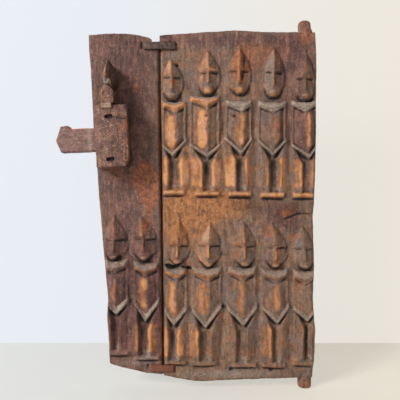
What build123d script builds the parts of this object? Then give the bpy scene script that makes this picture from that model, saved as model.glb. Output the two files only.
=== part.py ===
from build123d import *
import os
from math import cos, radians, sin

os.makedirs("parts", exist_ok=True)

# Frame: millimetres, +Z up. The origin is the foot of the lower pivot peg, on the pivot axis.
# The carved face looks along -Y and the panel reaches from the pivots towards -X.

# ---- Panel ----
board_thickness = 30.0
panel_foot = 20.0  # height of the panel's lower edge beside the pivot
panel_height = 608.0
hinge_overhang = 17.0  # board beyond the pivot axis
right_board_width = 268.0
left_board_width = 123.0  # at the top
left_board_taper = 36.0  # how much narrower it is at the foot
joint_gap = 3.0
joint_lean = 5.0  # the joint's top leans this far away from the pivots
joint_bevel = 4.0
top_crown = 3.0  # the right board's top rises in the middle
top_drop = 6.0  # and falls towards the joint
foot_belly = 6.0  # its foot sags in the middle
foot_rise = 6.0  # and rises towards the joint
left_foot_rise = 29.0  # the left board's foot, at its outer corner
left_top_drop = 6.0
worn_corner_width = 12.0  # worn notch at the left board's top, beside the joint
worn_corner_height = 7.0
hinge_hollow = 5.0  # the hinge edge is hewn in a shallow wave
corner_cut_width = 4.0  # lower corner of the hinge edge, cut back to the peg
corner_cut_height = 18.0

# ---- Pivot pegs, one piece with the right board ----
upper_pivot_radius = 11.4
upper_pivot_length = 23.0
upper_dome = 9.0
lower_pivot_radius = 12.0
lower_end_chamfer = 3.5
peg_root = 40.0
peg_shoulder = 24.0  # the board's ends are level this far past the pivot axis

# ---- Carved figures, in heights above the underside of the foot bar ----
relief_root = 9.0  # how deep each form reaches back into its board
figure_height = 252.0
brow_height = 215.0
nose_height = 191.0
chin_height = 174.0
shoulder_height = 163.0
collar_height = 149.0
elbow_height = 98.0
waist_height = 68.0
foot_bar_height = 10.0
figure_half_width = 25.0
head_half_width = 18.0
nose_relief = 13.0
brow_relief = 11.5
collar_relief = 7.0
torso_relief = 9.0
arm_relief = 8.0
arm_width = 7.0
leg_relief = 9.5
head_slope = 0.36  # how steeply the facets fall away on either side of a ridge
torso_slope = 0.42
leg_slope = 0.6
foot_relief = 7.0

# Rows: where they stand, and what the carver's eye varied from figure to figure
row_margin = 18.0  # from a board's edge to the middle of the row's end figure
upper_row_drop = 290.0  # below the panel's top
lower_row_rise = 22.0  # above the panel's foot
upper_row_sway = (0.0, 1.0, 1.0, 3.0, 1.0)
upper_row_crown = (1.0, 8.0, 8.0, 2.0, -14.0)
upper_row_lift = (-2.0, -2.0, 0.0, 1.0, 3.0)
lower_row_sway = (0.0, 5.0, 7.5, 4.0, 7.0)
lower_row_crown = (-9.0, 1.0, 3.0, -3.0, 1.0)
lower_row_lift = (2.0, -2.0, -2.0, 1.0, 3.0)
left_pair_inset = 30.0  # from the joint to the first figure
left_pair_pitch = 49.0
left_pair_rise = 34.0
left_pair_lift = (0.0, 6.0)
left_pair_crown = (-4.0, -7.0)
left_pair_half_width = 23.0

# ---- Iron staples across the joint ----
strap_thickness = 4.0
upper_strap_height = 13.0
upper_strap_span = 58.0
upper_strap_drop = 26.5  # its middle, below the panel's top
lower_strap_height = 11.0
lower_strap_span = 42.0
lower_strap_rise = 19.0  # its middle, above the panel's foot
strap_clinch = 16.0
strap_slot_play = 2.6
strap_edge_play = 0.4

# ---- Lock, laid out on its own plane, which leans with the board's outer edge ----
lock_lean = 2.5  # degrees
lock_inset = 48.1  # from the panel's outer top corner
lock_drop = 190.7  # below the panel's top
case_width = 54.4
case_depth = 45.0
case_crown = 3.5  # how far the middle of its face stands out
case_above = 53.0
case_below = 50.0
case_corner_width = 6.0
case_corner_height = 14.0
case_round = 2.5

bolt_height = 39.6
bolt_thickness = 18.0
bolt_back_play = 0.5
bolt_side_play = 0.8
bolt_inset = 3.0  # inner end, inside the case's side
bolt_reach = 65.0  # outer end, beyond the case's side
bolt_point = 8.0
bolt_catch_height = 6.0
bolt_catch_width = 15.0
bolt_chamfer = 1.5

pin_width = 3.2  # square forged shank
pin_head_width = 6.4
pin_head_height = 3.0
pin_hole_radius = 2.6
pin_spread = (9.6, 17.0)  # two pins on either side of the upper nail
pin_drop = 9.0
pin_lift_play = 0.4
bridge_height = 7.0
pocket_headroom = 15.0
pocket_play = 0.8
web_half_width = 5.5

key_slot_length = 50.0
key_slot_height = 12.0
key_slot_width = 10.0

nail_width = 4.4
nail_offset = -2.6
upper_nail_rise = 33.5
lower_nail_drop = 37.2
nail_sink = 3.0
nail_head_thickness = 2.0
nail_head_width = 12.0
nail_head_height = 5.0
nail_clinch = 15.0

# ---- Bust on the lock case ----
bust_offset = -5.2
bust_half_width = 8.0
bust_torso_height = 30.0
bust_head_height = 47.0
bust_head_half_width = 10.5
bust_torso_depth = 49.0
bust_nose_depth = 55.0
bust_crest_depth = 38.0
bust_crest_lean = 3.6  # the crest's point leans towards the pivots
bust_slope = 2.3  # the face is a narrow wedge
ring_radius = 6.8
ring_width = 1.6
ring_relief = 1.5
ledge_height = 6.0
ledge_relief = 3.0

# ---- Worked-out places ----
front = -board_thickness / 2
back = board_thickness / 2
panel_top = panel_foot + panel_height
joint_foot_x = hinge_overhang - right_board_width
joint_top_x = joint_foot_x - joint_lean
half_gap = joint_gap / 2
left_top_x = joint_top_x - half_gap - left_board_width
left_foot_x = left_top_x + left_board_taper
left_top_z = panel_top - left_top_drop
left_foot_z = panel_foot + left_foot_rise
upper_strap_level = panel_top - upper_strap_drop
lower_strap_level = panel_foot + lower_strap_rise


def joint_x(height):
    """The joint's centre line, which leans a little."""
    return joint_foot_x - joint_lean * (height - panel_foot) / panel_height


# ---- Carved figures ----
def faceted(x, foot, slope, sections):
    """A ridged form with flat chiselled facets: each section is (height, half width, ridge relief)."""
    profiles = []
    for height, half, ridge in sections:
        side = ridge - slope * half
        with BuildSketch(Plane.XY.offset(foot + height)) as profile:
            Polygon(
                (x - half, front + relief_root),
                (x - half, front - side),
                (x, front - ridge),
                (x + half, front - side),
                (x + half, front + relief_root),
                align=None,
            )
        profiles.append(profile.sketch.face())
    return loft(profiles, ruled=True, mode=Mode.PRIVATE)


def head(x, foot, crown):
    """Pointed cap, brow, nose ridge and chin."""
    half = head_half_width
    sections = (
        (chin_height, half * 0.3, nose_relief * 0.7),
        (chin_height + 8, half * 0.72, nose_relief * 0.9),
        (nose_height, half * 0.95, nose_relief),
        (brow_height - 3, half, brow_relief * 0.72),
        (brow_height, half, brow_relief),
        (crown, half * 0.1, brow_relief * 0.2),
    )
    return faceted(x, foot, head_slope, sections)


def torso(x, foot, half):
    """Ridged chest, widest under the collar."""
    sections = (
        (waist_height + 8, half * 0.3, torso_relief * 0.4),
        (elbow_height + 14, half * 0.5, torso_relief),
        (collar_height + 4, half * 0.52, torso_relief * 0.6),
    )
    return faceted(x, foot, torso_slope, sections)


def leg(x, foot, half):
    """A thigh that narrows to the foot bar."""
    sections = (
        (foot_bar_height - 1, half * 0.24, leg_relief * 0.6),
        (waist_height * 0.55, half * 0.34, leg_relief),
        (waist_height + 14, half * 0.2, leg_relief * 0.4),
    )
    return faceted(x, foot, leg_slope, sections)


def chevron(x, foot, half, point, wing, width):
    """A V-shaped band, its point down: the collar or the folded forearms."""
    Polygon(
        (x, foot + point),
        (x + half, foot + wing),
        (x + half, foot + wing + width),
        (x, foot + point + width),
        (x - half, foot + wing + width),
        (x - half, foot + wing),
        align=None,
    )


def figure_row(figures):
    """A row of standing figures; each is (place, foot, crown, half width)."""
    with BuildSketch(Plane.XZ.offset(-front - relief_root)) as collars:
        for x, foot, crown, half in figures:
            chevron(x, foot, half * 0.92, collar_height, shoulder_height, arm_width * 1.5)
    extrude(collars.sketch, amount=relief_root + collar_relief)
    with BuildSketch(Plane.XZ.offset(-front - relief_root)) as arms:
        for x, foot, crown, half in figures:
            chevron(x, foot, half, waist_height, elbow_height, arm_width * 1.3)
            for side in (-1, 1):
                arm = half - arm_width / 2
                with Locations((x + side * arm, foot + (elbow_height + shoulder_height) / 2)):
                    Rectangle(arm_width * 0.8, shoulder_height - elbow_height)
    extrude(arms.sketch, amount=relief_root + arm_relief)
    with BuildSketch(Plane.XZ.offset(-front - relief_root)) as bars:
        for x, foot, crown, half in figures:
            with Locations((x, foot + foot_bar_height / 2)):
                Rectangle(half * 1.7, foot_bar_height)
    extrude(bars.sketch, amount=relief_root + foot_relief)
    forms = []
    for x, foot, crown, half in figures:
        forms += [head(x, foot, crown), torso(x, foot, half)]
        forms += [leg(x + side * half * 0.52, foot, half) for side in (-1, 1)]
    add(forms)


def row_places(foot, sway, crown, lift):
    """Figures counted from the hinge side, evenly spaced but for their sway."""
    pitch = (right_board_width - 2 * row_margin) / (len(sway) - 1)
    return [
        (
            hinge_overhang - row_margin - pitch * number + sway[number],
            foot + lift[number],
            figure_height + crown[number],
            figure_half_width,
        )
        for number in range(len(sway))
    ]


upper_row = row_places(panel_top - upper_row_drop, upper_row_sway, upper_row_crown, upper_row_lift)
lower_row = row_places(panel_foot + lower_row_rise, lower_row_sway, lower_row_crown, lower_row_lift)
left_pair = [
    (
        joint_foot_x - left_pair_inset - left_pair_pitch * number,
        panel_foot + left_pair_rise + left_pair_lift[number],
        figure_height + left_pair_crown[number],
        left_pair_half_width,
    )
    for number in range(len(left_pair_lift))
]


# ---- Board outlines, drawn on the XZ plane ----
def right_outline():
    """The right board: leaning joint side, crowned top, waved hinge edge, bellied foot."""
    joint_foot = (joint_foot_x + half_gap, panel_foot + foot_rise)
    joint_top = (joint_top_x + half_gap, panel_top - top_drop)
    hinge_top = (hinge_overhang, panel_top)
    hinge_foot = (hinge_overhang - corner_cut_width, panel_foot + corner_cut_height)
    foot_corner = (hinge_overhang - corner_cut_width - 0.5, panel_foot)
    foot_shoulder = (-peg_shoulder, panel_foot)
    top_shoulder = (-peg_shoulder, panel_top)
    middle = joint_foot_x + right_board_width / 2
    with BuildSketch(Plane.XZ) as outline:
        with BuildLine():
            Line(joint_foot, joint_top)
            Spline(joint_top, (middle, panel_top + top_crown), top_shoulder)
            Line(top_shoulder, hinge_top)
            Spline(
                hinge_top,
                (hinge_overhang, panel_foot + panel_height * 0.83),
                (hinge_overhang - hinge_hollow, panel_foot + panel_height * 0.4),
                (hinge_overhang - 1, panel_foot + panel_height * 0.13),
                hinge_foot,
            )
            Line(hinge_foot, foot_corner)
            Line(foot_corner, foot_shoulder)
            Spline(foot_shoulder, (middle - right_board_width * 0.2, panel_foot - foot_belly), joint_foot)
        make_face()
    return outline.sketch


def left_outline():
    """The left board: tapers to its foot, with the worn corner beside the joint."""
    top_x = joint_top_x - half_gap
    notch_x = top_x - worn_corner_width
    strap_top = upper_strap_level + upper_strap_height / 2
    joint_foot = (joint_foot_x - half_gap, panel_foot + foot_rise)
    outer_foot = (left_foot_x, left_foot_z)
    outer_top = (left_top_x, left_top_z)
    notch_top = (notch_x, strap_top + worn_corner_height)
    drop = left_top_z - left_foot_z
    with BuildSketch(Plane.XZ) as outline:
        with BuildLine():
            Line(joint_foot, (joint_x(strap_top) - half_gap, strap_top))
            Line((joint_x(strap_top) - half_gap, strap_top), (notch_x, strap_top))
            Line((notch_x, strap_top), notch_top)
            Spline(notch_top, (left_top_x + left_board_width * 0.45, left_top_z + 3), outer_top)
            Spline(
                outer_top,
                (left_top_x + left_board_taper * 0.33, left_foot_z + drop * 0.64),
                (left_top_x + left_board_taper * 0.93, left_foot_z + drop * 0.2),
                outer_foot,
            )
            Spline(outer_foot, ((left_foot_x + joint_foot_x) / 2, panel_foot + 14), joint_foot)
        make_face()
    return outline.sketch


# ---- Lock plane and the places on it ----
lock_plane = Plane(
    origin=(left_top_x + lock_inset, front, panel_top - lock_drop),
    x_dir=(cos(radians(lock_lean)), 0, sin(radians(lock_lean))),
    z_dir=(0, -1, 0),
)
case_side = case_width / 2
bolt_top = bolt_height / 2
channel_half = bolt_top + bolt_side_play
channel_depth = bolt_back_play + bolt_thickness + bolt_side_play
bridge_top = channel_half + bridge_height
pocket_top = bridge_top + pocket_headroom
pin_depth = bolt_back_play + bolt_thickness / 2
pin_places = sorted(nail_offset + side * spread for side in (-1, 1) for spread in pin_spread)
bolt_inner = case_side - bolt_inset
bolt_outer = -case_side - bolt_reach


def level_plane(across, up, out=0.0):
    """A plane across the lock's upright direction; its Y runs into the board."""
    return Plane(
        origin=lock_plane.from_local_coords((across, up, out)),
        x_dir=lock_plane.x_dir,
        z_dir=lock_plane.y_dir,
    )


def nail_slot(up, play):
    """A square hole for one nail, on the lock plane."""
    with BuildSketch(lock_plane.offset(-2 * board_thickness)) as slot:
        with Locations((nail_offset, up)):
            Rectangle(nail_width + play, nail_width + play)
    extrude(slot.sketch, amount=2 * board_thickness + 2 * case_depth, mode=Mode.SUBTRACT)


def strap_slots(level, height, span):
    """The two slots that a staple's legs pass through."""
    centre = joint_x(level)
    tall = height + 2 * strap_edge_play
    with BuildSketch(Plane.XZ) as slots:
        for side in (-1, 1):
            outer = centre + side * (span / 2 + strap_slot_play)
            inner = centre + side * (span / 2 - strap_thickness)
            with Locations(((outer + inner) / 2, level)):
                Rectangle(abs(outer - inner), tall)
    extrude(slots.sketch, amount=board_thickness, both=True, mode=Mode.SUBTRACT)


def cut_strap_slots():
    strap_slots(upper_strap_level, upper_strap_height, upper_strap_span)
    strap_slots(lower_strap_level, lower_strap_height, lower_strap_span)


# ---- Relief, trimmed to its board ----
with BuildPart() as right_relief:
    figure_row(upper_row)
    figure_row(lower_row)
    extrude(right_outline(), amount=2 * board_thickness, both=True, mode=Mode.INTERSECT)

with BuildPart() as left_relief:
    figure_row(left_pair)
    extrude(left_outline(), amount=2 * board_thickness, both=True, mode=Mode.INTERSECT)

# ---- Right board with its pivot pegs ----
with BuildPart() as right_board:
    extrude(right_outline(), amount=board_thickness / 2, both=True)
    rim = right_board.faces().filter_by(Axis.Y).edges()
    joint_rim = rim.filter_by(lambda edge: edge.length > panel_height * 0.9).sort_by(Axis.X)[:2]
    chamfer(joint_rim, length=joint_bevel, length2=joint_bevel * 0.4)
    with BuildSketch(Plane.XY.offset(panel_top - peg_root)):
        Circle(upper_pivot_radius)
    extrude(amount=peg_root + upper_pivot_length - upper_dome)
    with BuildSketch(Plane.XZ):
        with BuildLine():
            dome_rim = (upper_pivot_radius, panel_top + upper_pivot_length - upper_dome)
            dome_top = (0, panel_top + upper_pivot_length)
            RadiusArc(dome_rim, dome_top, -(upper_pivot_radius**2 + upper_dome**2) / (2 * upper_dome))
            Line(dome_top, (0, dome_rim[1]))
            Line((0, dome_rim[1]), dome_rim)
        make_face()
    revolve(axis=Axis.Z)
    with BuildSketch(Plane.XY):
        Circle(lower_pivot_radius)
    extrude(amount=panel_foot + peg_root)
    foot_rim = right_board.edges().filter_by(GeomType.CIRCLE).sort_by(Axis.Z)[0]
    chamfer(foot_rim, length=lower_end_chamfer)
    cut_strap_slots()
    add(right_relief.part)
right_board.part.label = "right_board"

# ---- Left board ----
with BuildPart() as left_board:
    extrude(left_outline(), amount=board_thickness / 2, both=True)
    rim = left_board.faces().filter_by(Axis.Y).edges()
    joint_rim = rim.filter_by(lambda edge: edge.length > panel_height * 0.9).sort_by(Axis.X)[-2:]
    chamfer(joint_rim, length=joint_bevel, length2=joint_bevel * 0.4)
    cut_strap_slots()
    nail_slot(upper_nail_rise, 0)
    nail_slot(-lower_nail_drop, 0)
    add(left_relief.part)
left_board.part.label = "left_board"


# ---- Staples ----
def staple_profile(level, span):
    """Bridge, two legs and the clinched ends, seen from above."""
    centre = joint_x(level)
    half = span / 2
    inner = half - strap_thickness
    return Polygon(
        *[
            (centre + across, out)
            for across, out in (
                (-half, front - strap_thickness),
                (half, front - strap_thickness),
                (half, back + strap_thickness),
                (half - strap_clinch, back + strap_thickness),
                (half - strap_clinch, back),
                (inner, back),
                (inner, front),
                (-inner, front),
                (-inner, back),
                (-half + strap_clinch, back),
                (-half + strap_clinch, back + strap_thickness),
                (-half, back + strap_thickness),
            )
        ],
        align=None,
    )


def outer_bends(part):
    """The four outer corners of the bent strap."""
    upright = part.edges().filter_by(Axis.Z)
    ends = upright.sort_by(Axis.X)
    return ends[:2] + ends[-2:]


with BuildPart() as upper_staple:
    with BuildSketch(Plane.XY.offset(upper_strap_level - upper_strap_height / 2)):
        staple_profile(upper_strap_level, upper_strap_span)
    extrude(amount=upper_strap_height)
    fillet(outer_bends(upper_staple), radius=strap_thickness * 0.8)
upper_staple.part.label = "upper_staple"

with BuildPart() as lower_staple:
    with BuildSketch(Plane.XY.offset(lower_strap_level - lower_strap_height / 2)):
        staple_profile(lower_strap_level, lower_strap_span)
    extrude(amount=lower_strap_height)
    fillet(outer_bends(lower_staple), radius=strap_thickness * 0.8)
lower_staple.part.label = "lower_staple"


# ---- Lock case with its bust ----
def bust_section(up, half, ridge, lean=0.0):
    """One cross-section of the bust's head: flat back, ridged front."""
    side = ridge - bust_slope * half
    with BuildSketch(level_plane(bust_offset + lean, up)) as section:
        Polygon(
            (-half, 0),
            (half, 0),
            (half, -side),
            (0, -ridge),
            (-half, -side),
            align=None,
        )
    return section.sketch.face()


with BuildPart() as lock_case:
    with BuildSketch(level_plane(0, -case_below)):
        with BuildLine():
            Polyline((case_side, -case_depth + case_crown), (case_side, 0), (-case_side, 0))
            Line((-case_side, 0), (-case_side, -case_depth + case_crown))
            ThreePointArc(
                (-case_side, -case_depth + case_crown),
                (0, -case_depth),
                (case_side, -case_depth + case_crown),
            )
        make_face()
    extrude(amount=case_below + case_above)
    with BuildSketch(lock_plane):
        Polygon(
            (case_side, -case_below),
            (case_side, -case_below + case_corner_height),
            (case_side - case_corner_width, -case_below),
            align=None,
        )
    extrude(amount=2 * case_depth, mode=Mode.SUBTRACT)
    upright_edges = lock_case.edges().filter_by(lambda edge: edge.length > case_below)
    front_edges = upright_edges.sort_by(Axis.Y)[:2]
    fillet(front_edges, radius=case_round)

    # torso, with its raised ring and the ledge it stands on
    torso_top = case_above + bust_torso_height
    with BuildSketch(lock_plane):
        Polygon(
            (bust_offset - bust_half_width, case_above - 1),
            (bust_offset + bust_half_width, case_above - 1),
            (bust_offset + bust_half_width, torso_top - 8),
            (bust_offset + bust_half_width * 0.35, torso_top + 2),
            (bust_offset - bust_half_width * 0.35, torso_top + 2),
            (bust_offset - bust_half_width, torso_top - 8),
            align=None,
        )
    extrude(amount=bust_torso_depth)
    with BuildSketch(lock_plane.offset(bust_torso_depth - 1)):
        with Locations((bust_offset, case_above + bust_torso_height * 0.55)):
            Circle(ring_radius)
            Circle(ring_radius - ring_width, mode=Mode.SUBTRACT)
    extrude(amount=1 + ring_relief)
    with BuildSketch(lock_plane.offset(case_depth / 2)):
        with Locations((bust_offset, case_above - ledge_height / 2)):
            Rectangle(bust_half_width * 2, ledge_height)
    extrude(amount=case_depth / 2 + ledge_relief)

    # head: chin, mouth, nose, brow and the pointed crest
    head_half = bust_head_half_width
    nose = bust_nose_depth
    bust_head = [
        bust_section(torso_top, head_half * 0.4, nose * 0.88),
        bust_section(torso_top + 6, head_half * 0.8, nose * 0.95),
        bust_section(torso_top + 14, head_half, nose),
        bust_section(torso_top + 18, head_half, nose * 0.87),
        bust_section(torso_top + 21, head_half, nose * 0.92),
        bust_section(torso_top + bust_head_height, head_half * 0.15, bust_crest_depth, bust_crest_lean),
    ]
    loft(bust_head, ruled=True)

    # bolt channel, pin pockets on either side of the web, pin holes and nail holes
    with BuildSketch(lock_plane):
        Rectangle(case_width + 10, 2 * channel_half)
    extrude(amount=channel_depth, mode=Mode.SUBTRACT)
    with BuildSketch(lock_plane):
        pocket_out = pin_spread[1] + pin_head_width / 2 + pocket_play
        for side in (-1, 1):
            pocket_width = pocket_out - web_half_width
            middle_across = nail_offset + side * (web_half_width + pocket_width / 2)
            with Locations((middle_across, (bridge_top + pocket_top) / 2)):
                Rectangle(pocket_width, pocket_headroom)
    extrude(amount=pin_depth + pin_head_width / 2 + pocket_play, mode=Mode.SUBTRACT)
    for place in pin_places:
        with BuildSketch(level_plane(place, channel_half - 1, pin_depth)):
            Circle(pin_hole_radius)
        extrude(amount=bridge_height + 2, mode=Mode.SUBTRACT)
    nail_slot(upper_nail_rise, 0)
    nail_slot(-lower_nail_drop, 0)
    with BuildSketch(lock_plane.offset(case_depth - nail_sink - nail_head_thickness)):
        for up in (upper_nail_rise, -lower_nail_drop):
            with Locations((nail_offset, up)):
                Rectangle(nail_head_width + 1, nail_head_height + 1)
    extrude(amount=2 * case_depth, mode=Mode.SUBTRACT)
lock_case.part.label = "lock_case"


# ---- Nails, clinched behind the board ----
def nail(name, up):
    """Head, square shank and the end bent down over the board's back."""
    seat = case_depth - nail_sink - nail_head_thickness
    with BuildPart() as spike:
        with BuildSketch(lock_plane.offset(seat)):
            with Locations((nail_offset, up)):
                Polygon(
                    (-nail_head_width / 2, -nail_head_height / 2),
                    (nail_head_width / 2, -nail_head_height / 2),
                    (nail_head_width / 4, nail_head_height / 2),
                    (-nail_head_width / 4, nail_head_height / 2),
                    align=None,
                )
        extrude(amount=nail_head_thickness)
        with BuildSketch(lock_plane.offset(-board_thickness - nail_width)):
            with Locations((nail_offset, up)):
                Rectangle(nail_width, nail_width)
        extrude(amount=board_thickness + nail_width + seat)
        with BuildSketch(lock_plane.offset(-board_thickness - nail_width)):
            with Locations((nail_offset, up - nail_clinch / 2)):
                Rectangle(nail_width, nail_clinch + nail_width)
        extrude(amount=nail_width)
    spike.part.label = name
    export_step(spike.part, f"parts/{name}.step")


nail("upper_nail", upper_nail_rise)
nail("lower_nail", -lower_nail_drop)

# ---- Bolt ----
with BuildPart() as lock_bolt:
    with BuildSketch(lock_plane.offset(bolt_back_play)):
        Polygon(
            (bolt_inner, -bolt_top),
            (bolt_inner, bolt_top),
            (bolt_outer + bolt_catch_width + 3, bolt_top),
            (bolt_outer + bolt_catch_width, bolt_top + bolt_catch_height * 0.75),
            (bolt_outer + bolt_catch_width - 2, bolt_top + bolt_catch_height),
            (bolt_outer + 1, bolt_top + bolt_catch_height * 0.8),
            (bolt_outer - bolt_point, 1),
            (bolt_outer, -bolt_top),
            align=None,
        )
    extrude(amount=bolt_thickness)
    bolt_face = lock_bolt.faces().sort_by(Axis.Y)[0]
    chamfer(bolt_face.edges(), length=bolt_chamfer)
    with BuildSketch(lock_plane.offset(bolt_back_play + (bolt_thickness - key_slot_width) / 2)):
        with Locations((bolt_inner - key_slot_length / 2, 1)):
            Rectangle(key_slot_length, key_slot_height)
    extrude(amount=key_slot_width, mode=Mode.SUBTRACT)
    for place in pin_places:
        with BuildSketch(level_plane(place, 1, pin_depth)):
            Circle(pin_hole_radius)
        extrude(amount=bolt_top + 1, mode=Mode.SUBTRACT)
lock_bolt.part.label = "lock_bolt"

# ---- Locking pins, held up as the key holds them ----
pin_foot = bolt_top + pin_lift_play
pin_length = bridge_top - pin_foot + pin_drop
for number, place in enumerate(pin_places, start=1):
    with BuildPart() as tumbler:
        with BuildSketch(level_plane(place, pin_foot, pin_depth)):
            Rectangle(pin_width, pin_width)
        extrude(amount=pin_length)
        chamfer(tumbler.faces().sort_by(Axis.Z)[0].edges(), length=pin_width * 0.2)
        with BuildSketch(level_plane(place, pin_foot + pin_length, pin_depth)):
            Rectangle(pin_head_width, pin_head_width)
        extrude(amount=pin_head_height)
    tumbler.part.label = f"tumbler_{number}"
    export_step(tumbler.part, f"parts/tumbler_{number}.step")

# ---- Write the pieces ----
export_step(right_board.part, "parts/right_board.step")
export_step(left_board.part, "parts/left_board.step")
export_step(upper_staple.part, "parts/upper_staple.step")
export_step(lower_staple.part, "parts/lower_staple.step")
export_step(lock_case.part, "parts/lock_case.step")
export_step(lock_bolt.part, "parts/lock_bolt.step")
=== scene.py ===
import math
from collections import namedtuple

import bmesh
import bpy
import numpy as np
from bpy.props import FloatProperty, FloatVectorProperty, IntProperty, PointerProperty
from mathutils import Matrix, Vector


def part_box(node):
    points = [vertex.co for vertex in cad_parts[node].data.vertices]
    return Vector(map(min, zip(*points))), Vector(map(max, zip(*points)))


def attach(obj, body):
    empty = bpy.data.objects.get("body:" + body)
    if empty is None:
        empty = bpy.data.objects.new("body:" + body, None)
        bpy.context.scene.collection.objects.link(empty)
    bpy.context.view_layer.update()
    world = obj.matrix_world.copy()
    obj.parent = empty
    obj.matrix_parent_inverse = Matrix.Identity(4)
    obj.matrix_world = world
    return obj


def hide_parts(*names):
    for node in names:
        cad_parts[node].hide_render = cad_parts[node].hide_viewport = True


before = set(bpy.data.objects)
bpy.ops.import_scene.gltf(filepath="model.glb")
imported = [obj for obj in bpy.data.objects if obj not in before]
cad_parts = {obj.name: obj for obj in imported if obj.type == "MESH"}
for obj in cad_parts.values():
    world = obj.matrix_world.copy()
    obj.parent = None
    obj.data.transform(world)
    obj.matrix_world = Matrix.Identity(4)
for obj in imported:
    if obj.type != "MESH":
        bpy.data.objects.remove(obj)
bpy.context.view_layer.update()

bl_info = {
    "name": "Granary Door",
    "version": (1, 0, 0),
    "blender": (4, 5, 0),
    "location": "View3D > Sidebar > Granary Door",
    "description": "Carved wooden granary door with its bolt lock, dressed over the packed model",
    "category": "Add Mesh",
}

MM = 0.001  # the carving is laid out in millimetres, on the face of the boards
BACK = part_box("right_board")[1].y
FRONT = -BACK
MASKS = ("worn", "dust", "gloom", "ochre", "maroon", "russet")
SLOT_DEPTH = 4  # of the staples' slots in the boards' faces

# ---- The lock's own axes (across, up, out), which lean with the board's outer edge ----
LEAN = math.radians(2.5)
LOCK_AXES = Matrix(((math.cos(LEAN), 0, math.sin(LEAN)), (-math.sin(LEAN), 0, math.cos(LEAN)), (0, -1, 0)))
LOCK_FRAME = Matrix.Translation((-0.3324, FRONT, 0.4373)) @ LOCK_AXES.transposed().to_4x4()


# ---- Materials ----
def tone(red, green, blue):
    """A paint-chart colour, 0 to 255, as the linear colour a shader takes."""
    def linear(channel):
        value = channel / 255
        return value / 12.92 if value <= 0.04045 else ((value + 0.055) / 1.055) ** 2.4

    return (linear(red), linear(green), linear(blue), 1.0)


class Value:
    """A number socket that Python expressions work on."""

    def __init__(self, finish, socket):
        self.finish = finish
        self.socket = socket

    def maths(self, operation, first, second):
        """Works on two values or numbers."""
        return self.finish.node("ShaderNodeMath", {"operation": operation}, {0: first, 1: second})

    def __add__(self, other):
        return self.maths("ADD", self, other)

    def __sub__(self, other):
        return self.maths("SUBTRACT", self, other)

    def __rsub__(self, other):
        return self.maths("SUBTRACT", other, self)

    def __mul__(self, other):
        return self.maths("MULTIPLY", self, other)

    __radd__ = __add__
    __rmul__ = __mul__

    def span(self, low, high):
        """0 below low and 1 above high, smooth between."""
        settings = {"interpolation_type": "SMOOTHSTEP"}
        return self.finish.node("ShaderNodeMapRange", settings, {0: self, 1: low, 2: high})

    def line(self, level, width):
        """1 on the fine contour line at a level and 0 beside it."""
        return self.span(level - width, level) * self.span(level + width, level)


class Nodes:
    """A node tree that grows by expressions and by one method."""

    def __init__(self, tree):
        self.tree = tree
        self.tree.nodes.clear()

    def node(self, kind, settings, inputs, output=0):
        """Adds a node, sets it up, feeds its sockets and gives one output."""
        node = self.tree.nodes.new(kind)
        for name, value in settings.items():
            setattr(node, name, value)
        for name, value in inputs.items():
            socket = node.inputs[name]
            if isinstance(value, Value):
                self.tree.links.new(value.socket, socket)
            else:
                socket.default_value = value
        return Value(self, node.outputs[output]) if node.outputs else None


class Finish(Nodes):
    """A material built from nodes on the object's own coordinates, coat over coat."""

    def __init__(self, name):
        self.material = bpy.data.materials.new(name)
        self.material.use_nodes = True
        super().__init__(self.material.node_tree)
        self.place = self.node("ShaderNodeTexCoord", {}, {}, "Object")

    def painted(self, name):
        """A mask stored on the mesh."""
        return self.node("ShaderNodeAttribute", {"attribute_name": name}, {}, "Fac")

    def noise(self, size, detail, roughness, stretch=(1.0, 1.0, 1.0)):
        """Soft noise, 0 to 1, with blotches of about that size in metres, longer where stretch is under 1."""
        place = self.node("ShaderNodeVectorMath", {"operation": "MULTIPLY"}, {0: self.place, 1: stretch})
        inputs = {"Vector": place, "Scale": 1 / size, "Detail": detail, "Roughness": roughness}
        return self.node("ShaderNodeTexNoise", {}, inputs)

    def blend(self, first, second, factor):
        """One colour going over into another; each is a paint-chart colour or a socket."""
        first, second = (tone(*c) if isinstance(c, tuple) and len(c) == 3 else c for c in (first, second))
        return self.node("ShaderNodeMix", {"data_type": "RGBA"}, {0: factor, 6: first, 7: second}, 2)

    def coat(self, colour, factor):
        """Lays a colour over the base, as strongly as the factor says."""
        self.base = self.blend(self.base, colour, factor)

    def shaded(self, colour, factor):
        """A colour multiplied by a grey value."""
        grey = self.node("ShaderNodeCombineColor", {}, {0: factor, 1: factor, 2: factor})
        settings = {"data_type": "RGBA", "blend_type": "MULTIPLY"}
        return self.node("ShaderNodeMix", settings, {0: 1.0, 6: colour, 7: grey}, 2)

    def finished(self, roughness, bump, depth, **others):
        """Principled surface on the base, with a bump of the given depth in metres."""
        normal = self.node("ShaderNodeBump", {}, {"Height": bump, "Distance": depth, "Strength": 1.0})
        inputs = {"Base Color": self.base, "Roughness": roughness, "Normal": normal, **others}
        surface = self.node("ShaderNodeBsdfPrincipled", {}, inputs)
        self.node("ShaderNodeOutputMaterial", {}, {"Surface": surface})
        return self.material


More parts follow.
